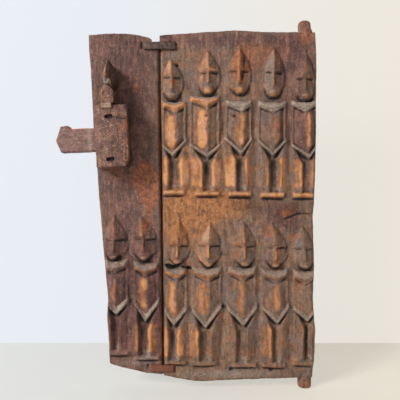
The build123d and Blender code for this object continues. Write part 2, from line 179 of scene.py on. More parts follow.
def board_finish():
    """Old carved hardwood: crests with wear and painted highlight, dusty bands with painted highlight, painted
    shade in the hollows and a rubbed ochre zone.
    """
    wood = Finish("board_wood")
    mottle = wood.noise(0.030, 5.0, 0.68)
    hue = wood.noise(0.014, 5.0, 0.74, (1.0, 1.0, 0.7))
    tint = wood.noise(0.010, 5.0, 0.76, (1.25, 1.0, 0.85))
    blotch = wood.noise(0.0065, 4.0, 0.75)
    speckle = wood.noise(0.0026, 3.0, 0.8)
    streaks = wood.noise(0.0052, 5.0, 0.68, (1.0, 1.0, 0.16))
    drift = wood.noise(0.012, 4.0, 0.7, (1.0, 1.0, 0.45))
    worn, dust, gloom, ochre, maroon, russet = (wood.painted(mask) for mask in MASKS)
    # bare wood, with grey, olive and orange drifts
    uneven = mottle * 0.4 + blotch * 0.22 + tint * 0.18 + streaks * 0.2
    wood.base = wood.blend((74, 50, 39), (136, 101, 78), uneven.span(0.38, 0.6))
    wood.coat((126, 106, 99), mottle.span(0.5, 0.38) * 0.6)
    wood.coat((126, 106, 103), hue.span(0.47, 0.36) * 0.6)
    wood.coat((122, 110, 84), tint.span(0.52, 0.64) * 0.55)
    wood.coat((164, 90, 44), hue.span(0.53, 0.66) * 0.65)
    # stained zones
    stain = wood.blend((66, 39, 34), (122, 79, 70), uneven.span(0.4, 0.6))
    wood.coat(stain, (maroon * 1.3 - drift * 0.4).span(0.0, 0.9))
    rust = wood.blend((118, 64, 42), (174, 98, 56), blotch.span(0.38, 0.62))
    wood.coat(rust, (russet * 1.6 - drift * 1.4).span(-0.1, 0.65) * 0.75)
    patchy = tint * 0.4 + blotch * 0.46 + streaks * 0.14
    gold = wood.blend((104, 60, 34), (184, 120, 66), patchy.span(0.37, 0.59))
    wood.coat(gold, (ochre * 1.5 - drift * 0.7 - hue * 0.3).span(0.0, 0.85) * 0.92)
    # wear and painted highlight on the lit planes, rubbed and then pale
    wear_and_highlight = worn * 1.25 - blotch * 0.4 - tint * 0.25 - speckle * 0.2 - streaks * 0.3
    patchy = tint * 0.3 + blotch * 0.3 + streaks * 0.4
    rubbed = wood.blend((122, 70, 34), (186, 118, 66), patchy.span(0.38, 0.6))
    rubbed = wood.blend(rubbed, (156, 76, 44), hue.span(0.54, 0.64) * 0.6)
    wood.coat(rubbed, wear_and_highlight.span(-0.3, 0.25) * 0.95)
    pale = wood.blend((210, 148, 92), (206, 150, 118), hue.span(0.47, 0.57))
    wood.coat(pale, wear_and_highlight.span(0.05, 0.6) * 0.88)
    # fibres, cracks and scrapes
    wood.coat((176, 150, 130), speckle.span(0.56, 0.7) * 0.42)
    calm = (1.0 - 0.7 * maroon) * (1.0 - 0.55 * ochre)
    wood.coat((162, 128, 106), streaks.span(0.53, 0.66) * 0.32 * calm)
    wood.coat((46, 31, 26), mottle.line(0.5, 0.014) * blotch.span(0.44, 0.54) * 0.6)
    wood.coat((196, 158, 132), hue.line(0.55, 0.018) * streaks.span(0.46, 0.56) * 0.45)
    wood.coat((92, 68, 62), drift.span(0.42, 0.32) * 0.5)
    # dust and painted highlight, painted shade in hollows, and pores
    powder_and_highlight = wood.blend((108, 94, 84), (176, 154, 136), (speckle * 0.6 + hue * 0.4).span(0.36, 0.62))
    wood.coat(powder_and_highlight, (dust * 1.4 - blotch * 0.9).span(0.0, 0.9))
    # painted highlight: a paler tone where dust and painted highlight are strongest, on collars and lips
    wood.coat((218, 184, 154), (dust - blotch * 0.8).span(0.75, 1.0) * 0.75)
    # painted shade: near-black where the mask marks hollows, undercuts, cracks and shaded sides
    wood.coat((26, 17, 14), (gloom * 1.2 - speckle * 0.3).span(0.0, 1.05))
    pores = speckle.span(0.26, 0.48) * 0.46 + blotch.span(0.3, 0.5) * 0.14 + streaks.span(0.36, 0.5) * 0.08
    wood.base = wood.shaded(wood.base, 0.4 + pores)
    bump = streaks * 0.5 + speckle * 0.8 + blotch * 0.9
    return wood.finished(0.42 + 0.25 * drift, bump, 0.0021, **{"Specular IOR Level": 0.42})


def lock_finish(name, dark, light, edge, grain):
    """Handled, scratched wood of the lock: darker than the boards, with rubbed edges, painted highlight on the
    lit edge and painted shade on the shaded sides.
    """
    wood = Finish(name)
    mottle = wood.noise(0.011, 5.0, 0.72)
    speckle = wood.noise(0.0024, 3.0, 0.8)
    streaks = wood.noise(0.0034, 4.0, 0.7, grain)
    drift = wood.noise(0.006, 4.0, 0.72)
    scar = wood.noise(0.019, 3.0, 0.6)
    worn, dust, gloom, _, _, russet = (wood.painted(mask) for mask in MASKS)
    wood.base = wood.blend(dark, light, (mottle * 0.4 + drift * 0.3 + streaks * 0.3).span(0.38, 0.6))
    wood.coat((124, 102, 102), drift.span(0.48, 0.36) * 0.55)
    wood.coat((160, 92, 50), mottle.span(0.54, 0.68) * 0.35)
    wood.coat((168, 132, 112), speckle.span(0.56, 0.72) * 0.38)
    wood.coat(edge, (russet * 1.4 - drift * 0.8).span(0.0, 0.8))
    wood.coat((186, 142, 112), scar.line(0.5, 0.022) * speckle.span(0.4, 0.5) * 0.7)
    wood.coat((44, 28, 24), mottle.line(0.475, 0.015) * drift.span(0.42, 0.52) * 0.6)
    # wear, and painted highlight on the case's left edge and the bust's crest
    wood.coat((190, 144, 112), (worn * 1.4 - drift * 0.7).span(0.0, 0.9))
    wood.coat((158, 136, 122), (dust * 1.3 - speckle * 0.6).span(0.0, 0.9))
    # painted shade: near-black in cracks, around the nails and on the shaded sides
    wood.coat((20, 14, 12), (gloom * 1.2 - speckle * 0.2).span(0.0, 1.0))
    pores = 0.2 * streaks.span(0.36, 0.54) + 0.34 * speckle.span(0.26, 0.46)
    wood.base = wood.shaded(wood.base, 0.38 + pores)
    bump = streaks * 0.6 + speckle * 0.6 + mottle * 0.5
    return wood.finished(0.46 + 0.3 * drift, bump, 0.0012, **{"Specular IOR Level": 0.4})


def iron_finish():
    """Forged iron: dark scale with rust, redder where the piece is painted rusty."""
    iron = Finish("forged_iron")
    scale = iron.noise(0.0060, 4.0, 0.65)
    pits = iron.noise(0.0012, 3.0, 0.7)
    rusted = (iron.painted("rust") + scale * 0.9 - 0.5).span(0.0, 0.7)
    iron.base = iron.blend((50, 42, 40), (92, 80, 72), scale.span(0.35, 0.7))
    iron.coat(iron.blend((84, 44, 32), (140, 84, 60), pits.span(0.3, 0.7)), rusted)
    bump = scale * 0.6 + pits * 0.6
    return iron.finished(0.48 + 0.32 * rusted, bump, 0.0006, Metallic=0.55 - 0.5 * rusted)


# ---- Carving tools ----
def unit(value):
    """A value kept between 0 and 1."""
    return np.clip(value, 0, 1)


def bell(value, width):
    """1 where the value is zero, falling softly to nothing over that width."""
    return np.exp(-((value / width) ** 2))


def lattice_noise(points, size, seed):
    """Smooth seeded noise from -1 to 1 at (n, 3) points; size may differ along each axis."""
    table = np.random.default_rng(seed).uniform(-1, 1, (32, 32, 32))
    place = points / size
    cell = np.floor(place).astype(int)
    part = place - cell
    part = part * part * (3 - 2 * part)
    total = np.zeros(len(points))
    for corner in range(8):
        step = np.array([corner >> 2 & 1, corner >> 1 & 1, corner & 1])
        x, y, z = ((cell + step) % 32).T
        total += np.prod(np.where(step, part, 1 - part), axis=1) * table[x, y, z]
    return total


def layered_noise(points, size, seed, layers):
    """Noise over noise, each layer half the size and half the strength of the last."""
    size = np.asarray(size, float)
    return sum(lattice_noise(points, size / 2**n, seed + n) / 2**n for n in range(layers))


def inside(x, z, outline):
    """How far each point lies inside a convex outline; negative outside."""
    corners = [np.array(corner, float) for corner in outline]
    loop = list(zip(corners, corners[1:] + corners[:1]))
    turn = sum(a[0] * b[1] - a[1] * b[0] for a, b in loop)
    depth = np.full(x.shape, np.inf)
    for a, b in loop:
        along = (b - a) / np.hypot(*(b - a)) * np.sign(turn)
        depth = np.minimum(depth, along[0] * (z - a[1]) - along[1] * (x - a[0]))
    return depth


def box_outline(left, right, foot, top):
    """The outline of an upright rectangle."""
    return [(left, foot), (right, foot), (right, top), (left, top)]


def softened(field, cells):
    """A field over a grid, smoothed over that many cells."""
    reach = int(math.ceil(3 * cells))
    weight = np.exp(-0.5 * (np.arange(-reach, reach + 1) / cells) ** 2)
    weight /= weight.sum()
    for axis in (0, 1):
        padding = [(reach, reach) if side == axis else (0, 0) for side in (0, 1)]
        padded = np.pad(field, padding, mode="edge")
        taken = (np.arange(n, n + field.shape[axis]) for n in range(len(weight)))
        field = sum(w * np.take(padded, place, axis=axis) for w, place in zip(weight, taken))
    return field


class Carving:
    """The face of a piece: heights and finish masks at its points, in millimetres."""

    def __init__(self, x, z):
        self.x = x
        self.z = z
        self.height = np.zeros_like(x)
        self.masks = {name: np.zeros_like(x) for name in MASKS}

    def lay(self, where, **amounts):
        """Sets some masks on some of the points."""
        for mask, amount in amounts.items():
            self.masks[mask] = np.where(where, amount, self.masks[mask])

    def deepen(self, mask, amount):
        """Brings a mask up to an amount where it is less."""
        self.masks[mask] = np.maximum(self.masks[mask], amount)

    def spot(self, centre, size):
        """1 at a centre, fading over a size across and up."""
        return bell(self.x - centre[0], size[0]) * bell(self.z - centre[1], size[1])

    def form(self, outline, roof, steep, base=0.0, **finish):
        """Raises a convex form under its roof, with sides that steep above its base."""
        within = outline if isinstance(outline, np.ndarray) else inside(self.x, self.z, outline)
        rise = np.minimum(roof, base + steep * within)
        proud = (rise > self.height) & (within > 0)
        self.height = np.where(proud, rise, self.height)
        self.lay(proud, **{"worn": 0.0, "dust": 0.0, "gloom": 0.0, **finish})

    def slots(self, *places):
        """Cuts slots with steep sides, each from its left, right, foot and top, with painted shade inside."""
        for place in places:
            depth = np.clip(4.0 * inside(self.x, self.z, box_outline(*place)), 0, SLOT_DEPTH)
            self.height = self.height - depth
            self.deepen("gloom", 1.0 * (depth > 0.3 * SLOT_DEPTH))

    def groove(self, start, end, width, depth, strength=1.0, mask="gloom"):
        """A crack or scratch from one point to another, tapering at its ends; painted shade darkens it unless
        another mask is given.
        """
        along = np.array(end, float) - np.array(start, float)
        across_x, across_z = self.x - start[0], self.z - start[1]
        t = unit((across_x * along[0] + across_z * along[1]) / np.hypot(*along) ** 2)
        away = np.hypot(across_x - t * along[0], across_z - t * along[1])
        taper = np.sqrt(np.clip(4 * t * (1 - t), 0.04, 1))
        near = unit(1 - away / (width / 2 * taper))
        self.height = self.height - depth * near
        self.deepen(mask, strength * near)

    def grooves(self, marks, *sizes):
        """Many grooves: each mark is a start and an end, then what its groove has of its own."""
        for x0, z0, x1, z1, *own in marks:
            self.groove((x0, z0), (x1, z1), *own, *sizes)

    def scratches(self, low, high, count, length, seed):
        """Seeded scratches and nicks of all directions between two corners, a third darkened with painted shade
        and the others pale.
        """
        rng = np.random.default_rng(seed)
        for number in range(count):
            start = rng.uniform(low, high)
            angle, reach = rng.uniform(0, math.pi), rng.uniform(*length)
            end = start + reach * np.array([math.cos(angle), math.sin(angle)])
            mask, strength = (("gloom", 0.5), ("worn", 0.8), ("dust", 0.9))[number % 3]
            self.groove(start, end, rng.uniform(1.2, 2.2), rng.uniform(0.3, 0.6), strength, mask)

    def patch(self, mask, centre, size, amount):
        """Lays a soft blot of finish on a place."""
        self.masks[mask] = unit(self.masks[mask] + amount * self.spot(centre, size))

    def dent(self, centre, size, depth):
        """Presses a soft hollow into a place."""
        self.height = self.height - depth * self.spot(centre, size)


def edge_at(marks, place):
    """The line through (place, value) marks."""
    return np.interp(place, [mark[0] for mark in marks], [mark[1] for mark in marks])


ROWS_PART = 400  # the upper row stands above this height
BOARDS_PART = -260  # the left board's figures stand left of this

# ---- The figures' marks, in millimetres: (x, height) or heights on the board's face ----
# Legs and torso are (start, end, strength) of the strip of wear and painted highlight on the lit plane beside
# each ridge; head is the strength of wear and painted highlight on cap and cheeks and how pale they are; neck is
# the strength of wear and painted highlight on the collar's rim.
Figure = namedtuple(
    "Figure",
    "apex brow nose chin face collar left_elbow right_elbow tip bar left_leg right_leg torso head neck",
)
UPPER_ROW = (
    Figure((-237, 577), 547, 523, (-234, 507), (-252, -217), (-230, 485), (-253, 427), (-209, 435),
           (-233, 407), (-252, -213, 341, 351), (-253, -241, 0.8), (-218, -206, 0.8), (-246, -226, 0.85),
           (0.5, 0.2, 0.4), 0.9),
    Figure((-172, 592), 555, 534, (-172, 516), (-190, -153), (-172, 494), (-204, 426), (-150, 426),
           (-172, 405), (-194, -152, 339, 348), (-199, -182, 0.9), (-163, -151, 0.8), (-191, -173, 0.9),
           (0.6, 0.4, 0.4), 1.0),
    Figure((-117, 597), 558, 534, (-116, 516), (-138, -99), (-112, 487), (-142, 438), (-94, 439),
           (-113, 410), (-136, -95, 338, 348), (-144, -124, 0.95), (-106, -98, 0.5), (-119, -109, 0.75),
           (0.45, 0.4, 0.1), 0.3),
    Figure((-57, 597), 556, 529, (-58, 511), (-76, -40), (-57, 486), (-86, 434), (-35, 435), (-58, 408),
           (-80, -39, 336, 346), (-74, -66, 0.35), (-46, -37, 0.55), (-60, -48, 0.4), (0.3, 0.2, 0.55),
           0.1),
    Figure((-1, 589), 545, 524, (-1, 505), (-23, 12), (-2, 487), (-27, 426), (20, 426), (5, 404),
           (-23, 12, 336, 346), (-19, -8, 0.8), (6, 14, 0.6), (-1, 6, 0.6), (0.1, 0.05, 0.15), 0.1),
)
LOWER_ROW = (
    Figure((-223, 297), 254, 233, (-226, 220), (-241, -207), (-224, 194), (-250, 139), (-207, 142),
           (-231, 111), (-248, -210, 45, 53), (-250, -241, 0.8), (-224, -216, 0.8), (-240, -227, 0.8),
           (0.5, 0.45, 0.1), 0.7),
    Figure((-169, 291), 254, 231, (-171, 215), (-191, -151), (-171, 192), (-200, 137), (-147, 146),
           (-176, 108), (-200, -156, 43, 51), (-202, -188, 0.65), (-168, -159, 0.3), (-190, -170, 0.75),
           (0.85, 0.85, 0.5), 0.75),
    Figure((-111, 294), 253, 230, (-107, 216), (-130, -89), (-110, 193), (-139, 142), (-86, 145),
           (-110, 111), (-130, -88, 40, 50), (-140, -123, 0.3), (-107, -96, 0.15), (-120, -109, 0.65),
           (0.45, 0.4, 0.3), 0.4),
    Figure((-60, 291), 251, 227, (-55, 214), (-73, -35), (-52, 189), (-80, 144), (-30, 144), (-51, 115),
           (-78, -37, 40, 50), (-74, -61, 0.55), (-47, -37, 0.3), (-58, -47, 0.7), (0.35, 0.2, 0.2),
           0.35),
    Figure((-8, 286), 249, 226, (-1, 211), (-27, 12), (-4, 187), (-24, 142), (20, 142), (1, 119),
           (-22, 12, 43, 53), (-16, -6, 0.25), (7, 14, 0.1), (-9, 6, 0.3), (0.12, 0.05, 0.35), 0.25),
)
LEFT_PAIR = (
    Figure((-336, 305), 265, 243, (-338, 227), (-352, -314), (-340, 205), (-352, 152), (-310, 154),
           (-331, 131), (-346, -308, 61, 71), (-346, -340, 0.3), (-328, -315, 0.2), (-340, -332, 0.45),
           (0.25, 0.05, 0.1), 0.3),
    Figure((-288, 302), 266, 243, (-284, 226), (-305, -262), (-283, 201), (-302, 153), (-256, 154),
           (-281, 119), (-299, -256, 53, 61), (-301, -293, 0.45), (-274, -265, 0.6), (-290, -278, 0.8),
           (0.4, 0.1, 0.2), 0.45),
)
# Half widths of the lens, the cap and the two kinds of jaw: (share of the way up or down, share of the width)
LENS_BELOW = ((0.0, 0.22), (0.1, 0.5), (0.32, 0.82), (0.65, 0.97), (1.0, 1.0))
LENS_ABOVE = ((0.25, 0.93), (0.5, 0.72), (0.75, 0.41), (1.0, 0.04))
CAP_SIDE = ((0.22, 0.93), (0.5, 0.7), (0.76, 0.38), (1.0, 0.05))
BROAD_JAW = ((0.3, 1.0), (0.6, 0.93), (0.84, 0.7), (1.0, 0.34))
POINTED_JAW = ((0.2, 1.0), (0.44, 0.95), (0.72, 0.64), (0.9, 0.36), (1.0, 0.15))


def mirrored(levels):
    """A closed outline from its (middle, height, half width) levels."""
    return [(x + half, z) for x, z, half in levels] + [(x - half, z) for x, z, half in levels[::-1]]


def lens(centre, half, low, middle, high, lean=0.0):
    """A pointed-oval outline: full width at the middle height, points at low and high."""
    below = [(centre, low + (middle - low) * t, half * w) for t, w in LENS_BELOW]
    above = [(centre + lean * t, middle + (high - middle) * t, half * w) for t, w in LENS_ABOVE]
    return mirrored(below + above)


def planes(face, line, left, right):
    """Two chiselled planes falling away from a ridge of (height up, across, relief) marks."""
    ups, across, relief = zip(*line)
    away = face.x - np.interp(face.z, ups, across)
    return np.interp(face.z, ups, relief) - np.where(away < 0, -left * away, right * away)


def chevron(face, left, tip, right, thick_end, thick_tip, bow=0.0):
    """How far inside a V-shaped band each point lies, and its height above the band's lower, bowed line."""
    halves = [((a[0] + b[0]) / 2, (a[1] + b[1]) / 2 - bow) for a, b in ((left, tip), (tip, right))]
    rise = face.z - edge_at((left, halves[0], tip, halves[1], right), face.x)
    thick = np.interp(face.x, (left[0], tip[0], right[0]), (thick_end, thick_tip, thick_end))
    return np.minimum.reduce([rise, thick - rise, face.x - left[0], right[0] - face.x]), rise


def carve_head(face, figure):
    """Helmet-like head: side planes, ridged cap, brow step, nose, eyes, mouth and chin, with painted highlight on
    the sunny side and painted shade on the other.
    """
    x, z = face.x, face.z
    upper = figure.brow > ROWS_PART
    left, right = figure.face
    centre, half = (left + right) / 2, (right - left) / 2
    (apex_x, apex), (chin_x, chin) = figure.apex, figure.chin
    brow, nose = figure.brow, figure.nose
    cap_wear_and_highlight, cheek_wear_and_highlight, pale = figure.head
    middle, lean, rise = (centre + chin_x) / 2, apex_x - centre, apex - brow
    ridge = np.interp(z, (chin, brow, apex), (chin_x, middle, apex_x))
    sunny = x < ridge
    # side planes of the head, running out into the ground, with dust and painted highlight stronger on the sunny
    # side
    block = inside(x, z, lens(centre, half + 3.2, chin + 4, brow - 8, apex + 3, lean))
    line = ((chin, chin_x, 8.4), (brow, centre, 10.2), (apex + 3, apex_x, 2.4))
    around = unit(1 + (block + 1) / 8) * unit((brow + 0.5 * rise - z) / 10)
    around = around * np.clip((0.7 * ridge + 0.3 * centre + 2 - x) / 4, 0.45, 1) * (z > chin - 3)
    face.deepen("dust", (0.7 if centre < BOARDS_PART else 0.32) * around)
    face.form(block, planes(face, line, 0.3, 0.34), 1.5, worn=np.where(sunny, 0.35 * cheek_wear_and_highlight, 0.0))
    # cap, with wear and painted highlight on its sunny plane, dust stronger there, and painted shade right of the
    # ridge
    levels = [(centre + lean * t, brow + rise * t, half * w) for t, w in CAP_SIDE]
    cap = inside(x, z, mirrored([(centre, brow - 1, half * 0.97)] + levels))
    line = ((brow - 1, middle, 13.0), (brow + rise * 0.5, centre + lean * 0.5, 11.4), (apex, apex_x, 5.5))
    face.form(cap, planes(face, line, 0.46, 0.6), 1.8, 2.0)
    on_cap = (cap > 0.4) & (z > brow - 1)
    lit = np.where(sunny, 0.85, 0.1) + 0.15 * bell(x - ridge + 2, 3.0)
    lit = lit + 0.35 * bell(z - brow - 2, 3.0) * (x > ridge)
    powder_and_highlight = np.where(sunny, 0.2 + 0.8 * pale, 0.6 * pale)
    face.lay(on_cap, worn=unit(0.85 * lit * cap_wear_and_highlight), gloom=0.2 * (x > ridge + 1), dust=powder_and_highlight)
    # face under the brow: two planes with a shield-shaped outline
    jaw, broad = (BROAD_JAW, 0.95 * half) if upper else (POINTED_JAW, 1.08 * half)
    levels = [(chin_x * t + centre * (1 - t), brow + (chin - brow) * t, broad * w) for t, w in jaw]
    rim = inside(x, z, mirrored([(centre, brow + 1, broad)] + levels))
    # the throat, cut back under the jaw, with painted shadow darker on the right
    under = unit(1 + rim / 3.6) * (rim <= 0.4) * unit((nose + 3 - z) / 9)
    face.height = face.height - 2.2 * under
    face.deepen("gloom", under * np.where(x < middle, 0.42, 0.65))
    line = ((chin, chin_x, 10.6), (chin + 7, chin_x, 11.8), (nose, middle, 10.4), (brow, middle, 8.8))
    cheeks = planes(face, line, 0.34, 0.5)
    level = z - brow + 7
    for eye in (middle - 8.5, middle + 8.5):
        cheeks = cheeks - 1.3 * bell(x - eye, 5.4) * bell(level, 4.6)
        cheeks = cheeks + 1.5 * bell(x - eye, 3.4) * bell(level + 0.4, 1.7)
    on_face = (rim > 0) & (z < brow - 0.5)
    face.height = np.where(on_face, np.minimum(cheeks, 3.0 + 2.2 * rim), face.height)
    # painted highlight on the sunny cheek and along the lower rim, painted shade right of the ridge and near the
    # outline
    lit = np.where(sunny, 0.8, 0.3) + 0.25 * bell(rim - 2.0, 1.6) * (z < nose + 6)
    powder_and_highlight = np.where(sunny, 0.15 + 0.8 * pale, 0.6 * pale)
    face.lay(on_face, worn=unit(0.85 * lit * cheek_wear_and_highlight), dust=powder_and_highlight)
    dim = 0.2 * unit((x - ridge - 1) / 3) + 0.5 * unit(1 - rim / 1.6)
    face.lay(on_face & (rim > 0.4), gloom=dim)
    # shadows of the brow and beside the nose
    width, dark = (5.0, 0.85) if upper else (3.6, 0.75)
    face.grooves((
        (centre - half * 0.85, brow - 1.8, middle - 1.5, brow - 2.6, width, 1.5, dark),
        (middle + 1.5, brow - 2.6, centre + half * 0.9, brow - 2.6, 5.5, 1.4, 0.85),
        (middle + 4.2, nose + 2, middle + 2.4, brow - 4, 3.2, 0.8, 0.45),
    ))
    # nose, mouth and chin
    bridge = [(middle - 2.2, brow), (middle + 1.8, brow), (middle + 3.2, nose), (middle - 4.2, nose)]
    line = ((nose, middle + 0.4, 13.2), (brow, middle, 12.4))
    face.form(bridge, planes(face, line, 0.6, 1.1), 2.6, 7.5, worn=0.12 + 0.8 * cheek_wear_and_highlight, dust=0.8 * pale)
    # painted shadow under the nose
    face.groove((middle - 3.4, nose - 1.6), (middle + 4.2, nose - 1.6), 4.2, 2.0, 0.85)
    level = chin + (0.5 if upper else 0.42) * (nose - chin)
    mouth = lens(middle, 7.2, level - 3.6, level, level + 3.4)
    # painted shade between nose and mouth, and in the mouth's line below
    face.groove((middle - 6, level + 4.4), (middle + 6, level + 4.4), 2.6, 0.9, 0.5)
    face.form(mouth, 13.4 - 0.25 * np.abs(x - middle), 2.4, 9.0, dust=0.65, worn=0.15 + 0.25 * cheek_wear_and_highlight)
    face.groove((middle - 4.8, level - 0.2), (middle + 4.8, level - 0.2), 1.8, 1.1, 0.7)
    # painted highlight on the chin
    face.patch("worn", (chin_x - 1, chin + 3.0), (5.5, 2.0), 0.25 + 0.5 * cheek_wear_and_highlight)
    # the head's shaded side
    far = unit(block + 2.5) * unit((x - centre - half * 0.7) / 4) * unit((z - chin) / 8)
    face.deepen("gloom", 0.42 * far)
    face.masks["worn"] = face.masks["worn"] * (1 - 0.8 * far)


def carve_body(face, figure):
    """Legs, torso, arms, V of the forearms, collar and foot bar, all in chiselled planes, with painted highlight
    on lit planes and painted shade in gaps and undercuts.
    """
    x, z = face.x, face.z
    (xl, zl), (xr, zr), (xc, zc), (xt, zt) = figure.left_elbow, figure.right_elbow, figure.collar, figure.tip
    bar_left, bar_right, bar_foot, foot = figure.bar
    upper, on_left_board = zc > ROWS_PART, xt < BOARDS_PART
    wander = 1.5 * np.sin(z / 7.1 + xt) * np.sin(z / 3.3 + 2 * xt)
    left_lit, left_shin, left_wear_and_highlight = figure.left_leg
    right_shin, right_lit, right_wear_and_highlight = figure.right_leg
    # legs: planes that fall gently outwards and steeply into the gap between them, with wear and painted
    # highlight on the lit plane and painted shade on the left leg's inner face
    for inward, xe, ze, shin, knee, slopes, start, end, wear_and_highlight in (
        (1, xl, zl, (left_shin, left_shin - 1, left_shin - 1), zt - 9, (0.36, 1.5),
         left_lit - left_shin, 0.8, left_wear_and_highlight),
        (-1, xr, zr, (right_shin + 2, right_shin + 1, right_shin), zt - 13, (1.0, 0.44),
         -0.8, right_lit - right_shin, right_wear_and_highlight),
    ):
        ups, across = (foot - 3, foot + 10, knee, ze - 2), (*shin, xe + 5 * inward)
        roof = planes(face, zip(ups, across, (5.0, 7.6, 9.2, 5.5)), *slopes)
        outer, inner = xe - 14 * inward, xt - inward
        leg = inside(x, z, [(outer, foot - 2), (inner, foot - 2), (inner, zt), (xe, ze + 3), (outer, ze - 8)])
        face.form(leg, roof, 1.8)
        on_leg = (leg > 0) & (face.height <= roof + 0.05) & (roof > 1.5)
        away = x - np.interp(z, ups, across)
        lit = unit((away + wander - start) / 7 + 1) * unit((end - away - wander) / 5 + 1)
        lit = lit * (0.8 + 0.3 * bell(away + 1, 3)) * unit((zt + 8 - z) / 14)
        lit = lit * np.clip((z - foot - 4) / 6, 0.15, 1)
        face.lay(on_leg, worn=wear_and_highlight * lit, gloom=0.3 * (away > 1.5) * (inward > 0))
        # painted highlight on the right leg's inner face, which faces the light
        face.lay(on_leg & (away < -1) & (away > -7) & (inward < 0), dust=0.35)
    # painted shade deepening into the gap between the legs
    gap = [(left_shin + 2, foot), (right_shin - 4, foot), (right_shin - 4, zt - 6), (xt, zt),
           (left_shin + 3, zt - 6)]
    depth = np.clip(inside(x, z, gap), 0, 3)
    face.height = face.height - 0.4 * depth
    face.deepen("gloom", (0.13 if upper else 0.09) * depth * unit((z - foot + 6) / (zt - foot)))
    # torso: two planes that fill the sunk panel between the arms, with wear and painted highlight on the lit
    # plane and painted shade along the panel's edges and on the shaded plane
    lit_from, ridge_x, wear_and_highlight = figure.torso
    panel = [(xl + 4, zl + 4), (xt, zt + 3), (xr - 4, zr + 4), (xr - 4, zc + 14), (xl + 4, zc + 14)]
    ridge = np.interp(z, (zt + 4, zt + 22, zc), (xt + 1, ridge_x, ridge_x))
    left_slope, right_slope = 5.0 / (ridge_x - xl - 6), 7.0 / (xr - 6 - ridge_x)
    roof = np.interp(z, (zt + 4, zt + 24, zc - 24, zc), (5.0, 8.6, 9.2, 7.0))
    roof = roof - np.where(x < ridge, left_slope * (ridge - x), right_slope * (x - ridge))
    depth = inside(x, z, panel)
    on_torso = depth > 0
    sunk = (1.4 if upper else 3.0) + 1.1 * np.abs(depth - 1.6)
    face.height = np.where(on_torso, np.minimum(np.maximum(roof, 0.8), sunk), face.height)
    along = unit((z - zt - 8) / (zc - zt - 8))
    spread = ((ridge - lit_from) / 2 + (3 if upper else 5)) * (0.55 + 0.5 * np.sin(math.pi * along))
    lit = bell(x - (lit_from + ridge) / 2 - wander, spread) * unit((ridge + 4 + wander - x) / 6)
    lit = lit * unit((z - zt - (10 if upper else 18)) / 12) * np.clip((zc + 2 - z) / 10, 0.1, 1)
    beside = unit(1 - np.abs(depth - 2.0) / 2.2) * (x < xt) + 0.8 * unit(1 - depth / 5) * (x > xt)
    dim = (0.26 if upper else 0.16) * beside + 0.2 * unit((x - ridge - 1) / 4)
    face.lay(on_torso, worn=unit((1.1 if upper else 0.935) * wear_and_highlight * lit), gloom=dim, dust=0.0)
    # arms, and the undercut below the forearms with its painted shadow, darker on the right
    for inward, xe, ze, drop, dark in ((1, xl, zl, 2.2, 0.38), (-1, xr, zr, 3.0, 0.5)):
        inner = xe + 6 * inward
        arm = [(xe, ze - 1), (inner, ze - 5), (inner, zc + 15), (xe, zc + 15)]
        roof = (7.6 if upper else 5.6) - 0.5 * np.abs(x - xe - 3.4 * inward)
        face.form(arm, roof, 2.0 if upper else 1.3, dust=0.2, worn=0.1)
        face.groove((xe + 3 * inward, ze - drop), (xt - 2 * inward, zt - drop), 4.6 + drop, 3.0, dark)
    # forearms: a lip over the undercut, with dust and painted highlight on it and a rubbed lower edge of wear and
    # painted highlight, stronger on its left half
    thick_end, thick_tip, slope = (7.0, 9.0, 0.5) if upper else (11.0, 17.0, 0.36)
    lip, rise = chevron(face, (xl - 0.5, zl), (xt, zt), (xr + 0.5, zr), thick_end, thick_tip)
    face.form(lip, 10.2 - slope * np.clip(rise - 1.6, 0, None), 3.6)
    powder_and_highlight = np.where(x < xt - 4, 0.55, 0.85) if on_left_board else np.clip(1.1 - 0.05 * rise, 0.3, 1)
    face.lay(lip > 0, dust=powder_and_highlight)
    rubbed = np.where(x < xt, 0.45 + 0.35 * left_wear_and_highlight, 0.25 + 0.2 * left_wear_and_highlight) * (1.0 if upper else 0.5)
    face.lay((lip > 0) & (rise < 3.4), worn=rubbed)
    # collar, with its painted shadow on the chest, dust and painted highlight on the band and a golden rim of
    # wear and painted highlight, stronger on its left half
    neck_end, neck_middle, crest_middle, fall = (10, 17.5, 12, 0.4) if upper else (15, 20, 9, 0.3)
    bow = 2.6 * (1 - figure.neck) if upper else 0.6
    for inward, xe, dark in ((1, xl, 0.7), (-1, xr, 0.8)):
        face.groove((xe + 5 * inward, zc + 7), (xc - inward, zc - 3.2), 5.5, 2.4, dark)
    ends = zc + 11
    neck, rise = chevron(face, (xl + 0.5, ends), (xc, zc), (xr - 0.5, ends), neck_end, neck_middle, bow)
    crest = np.interp(x, (xl, xc, xr), (6, crest_middle, 6))
    golden = (neck > 0) & (rise < crest)
    powder_and_highlight = 1.4 if upper else 0.7
    face.form(neck, 9.6 - np.where(rise < crest, 0.2, -fall) * (crest - rise), 1.6, 1.0, dust=powder_and_highlight)
    rubbed = np.where(x < xc, 1.0, 0.8) * (0.08 + (0.85 if upper else 0.65) * figure.neck)
    face.lay(golden, worn=rubbed, dust=powder_and_highlight * (1 - figure.neck))
    # foot bar, rubbed bright in front, undercut below with painted shadow
    face.groove((bar_left, bar_foot - 2.2), (bar_right, bar_foot - 2.2), 5.0, 1.8, 0.75)
    rubbed = 0.7 if upper else 0.0 if on_left_board else 0.22
    bar = box_outline(bar_left - 1.5, bar_right + 1.5, bar_foot, foot)
    face.form(bar, 7.2 - 0.1 * np.abs(z - bar_foot - 4), 2.8, worn=rubbed, dust=0.25)
    face.patch("dust", ((bar_left + bar_right) / 2, foot + 5), (20, 7), 0.6)


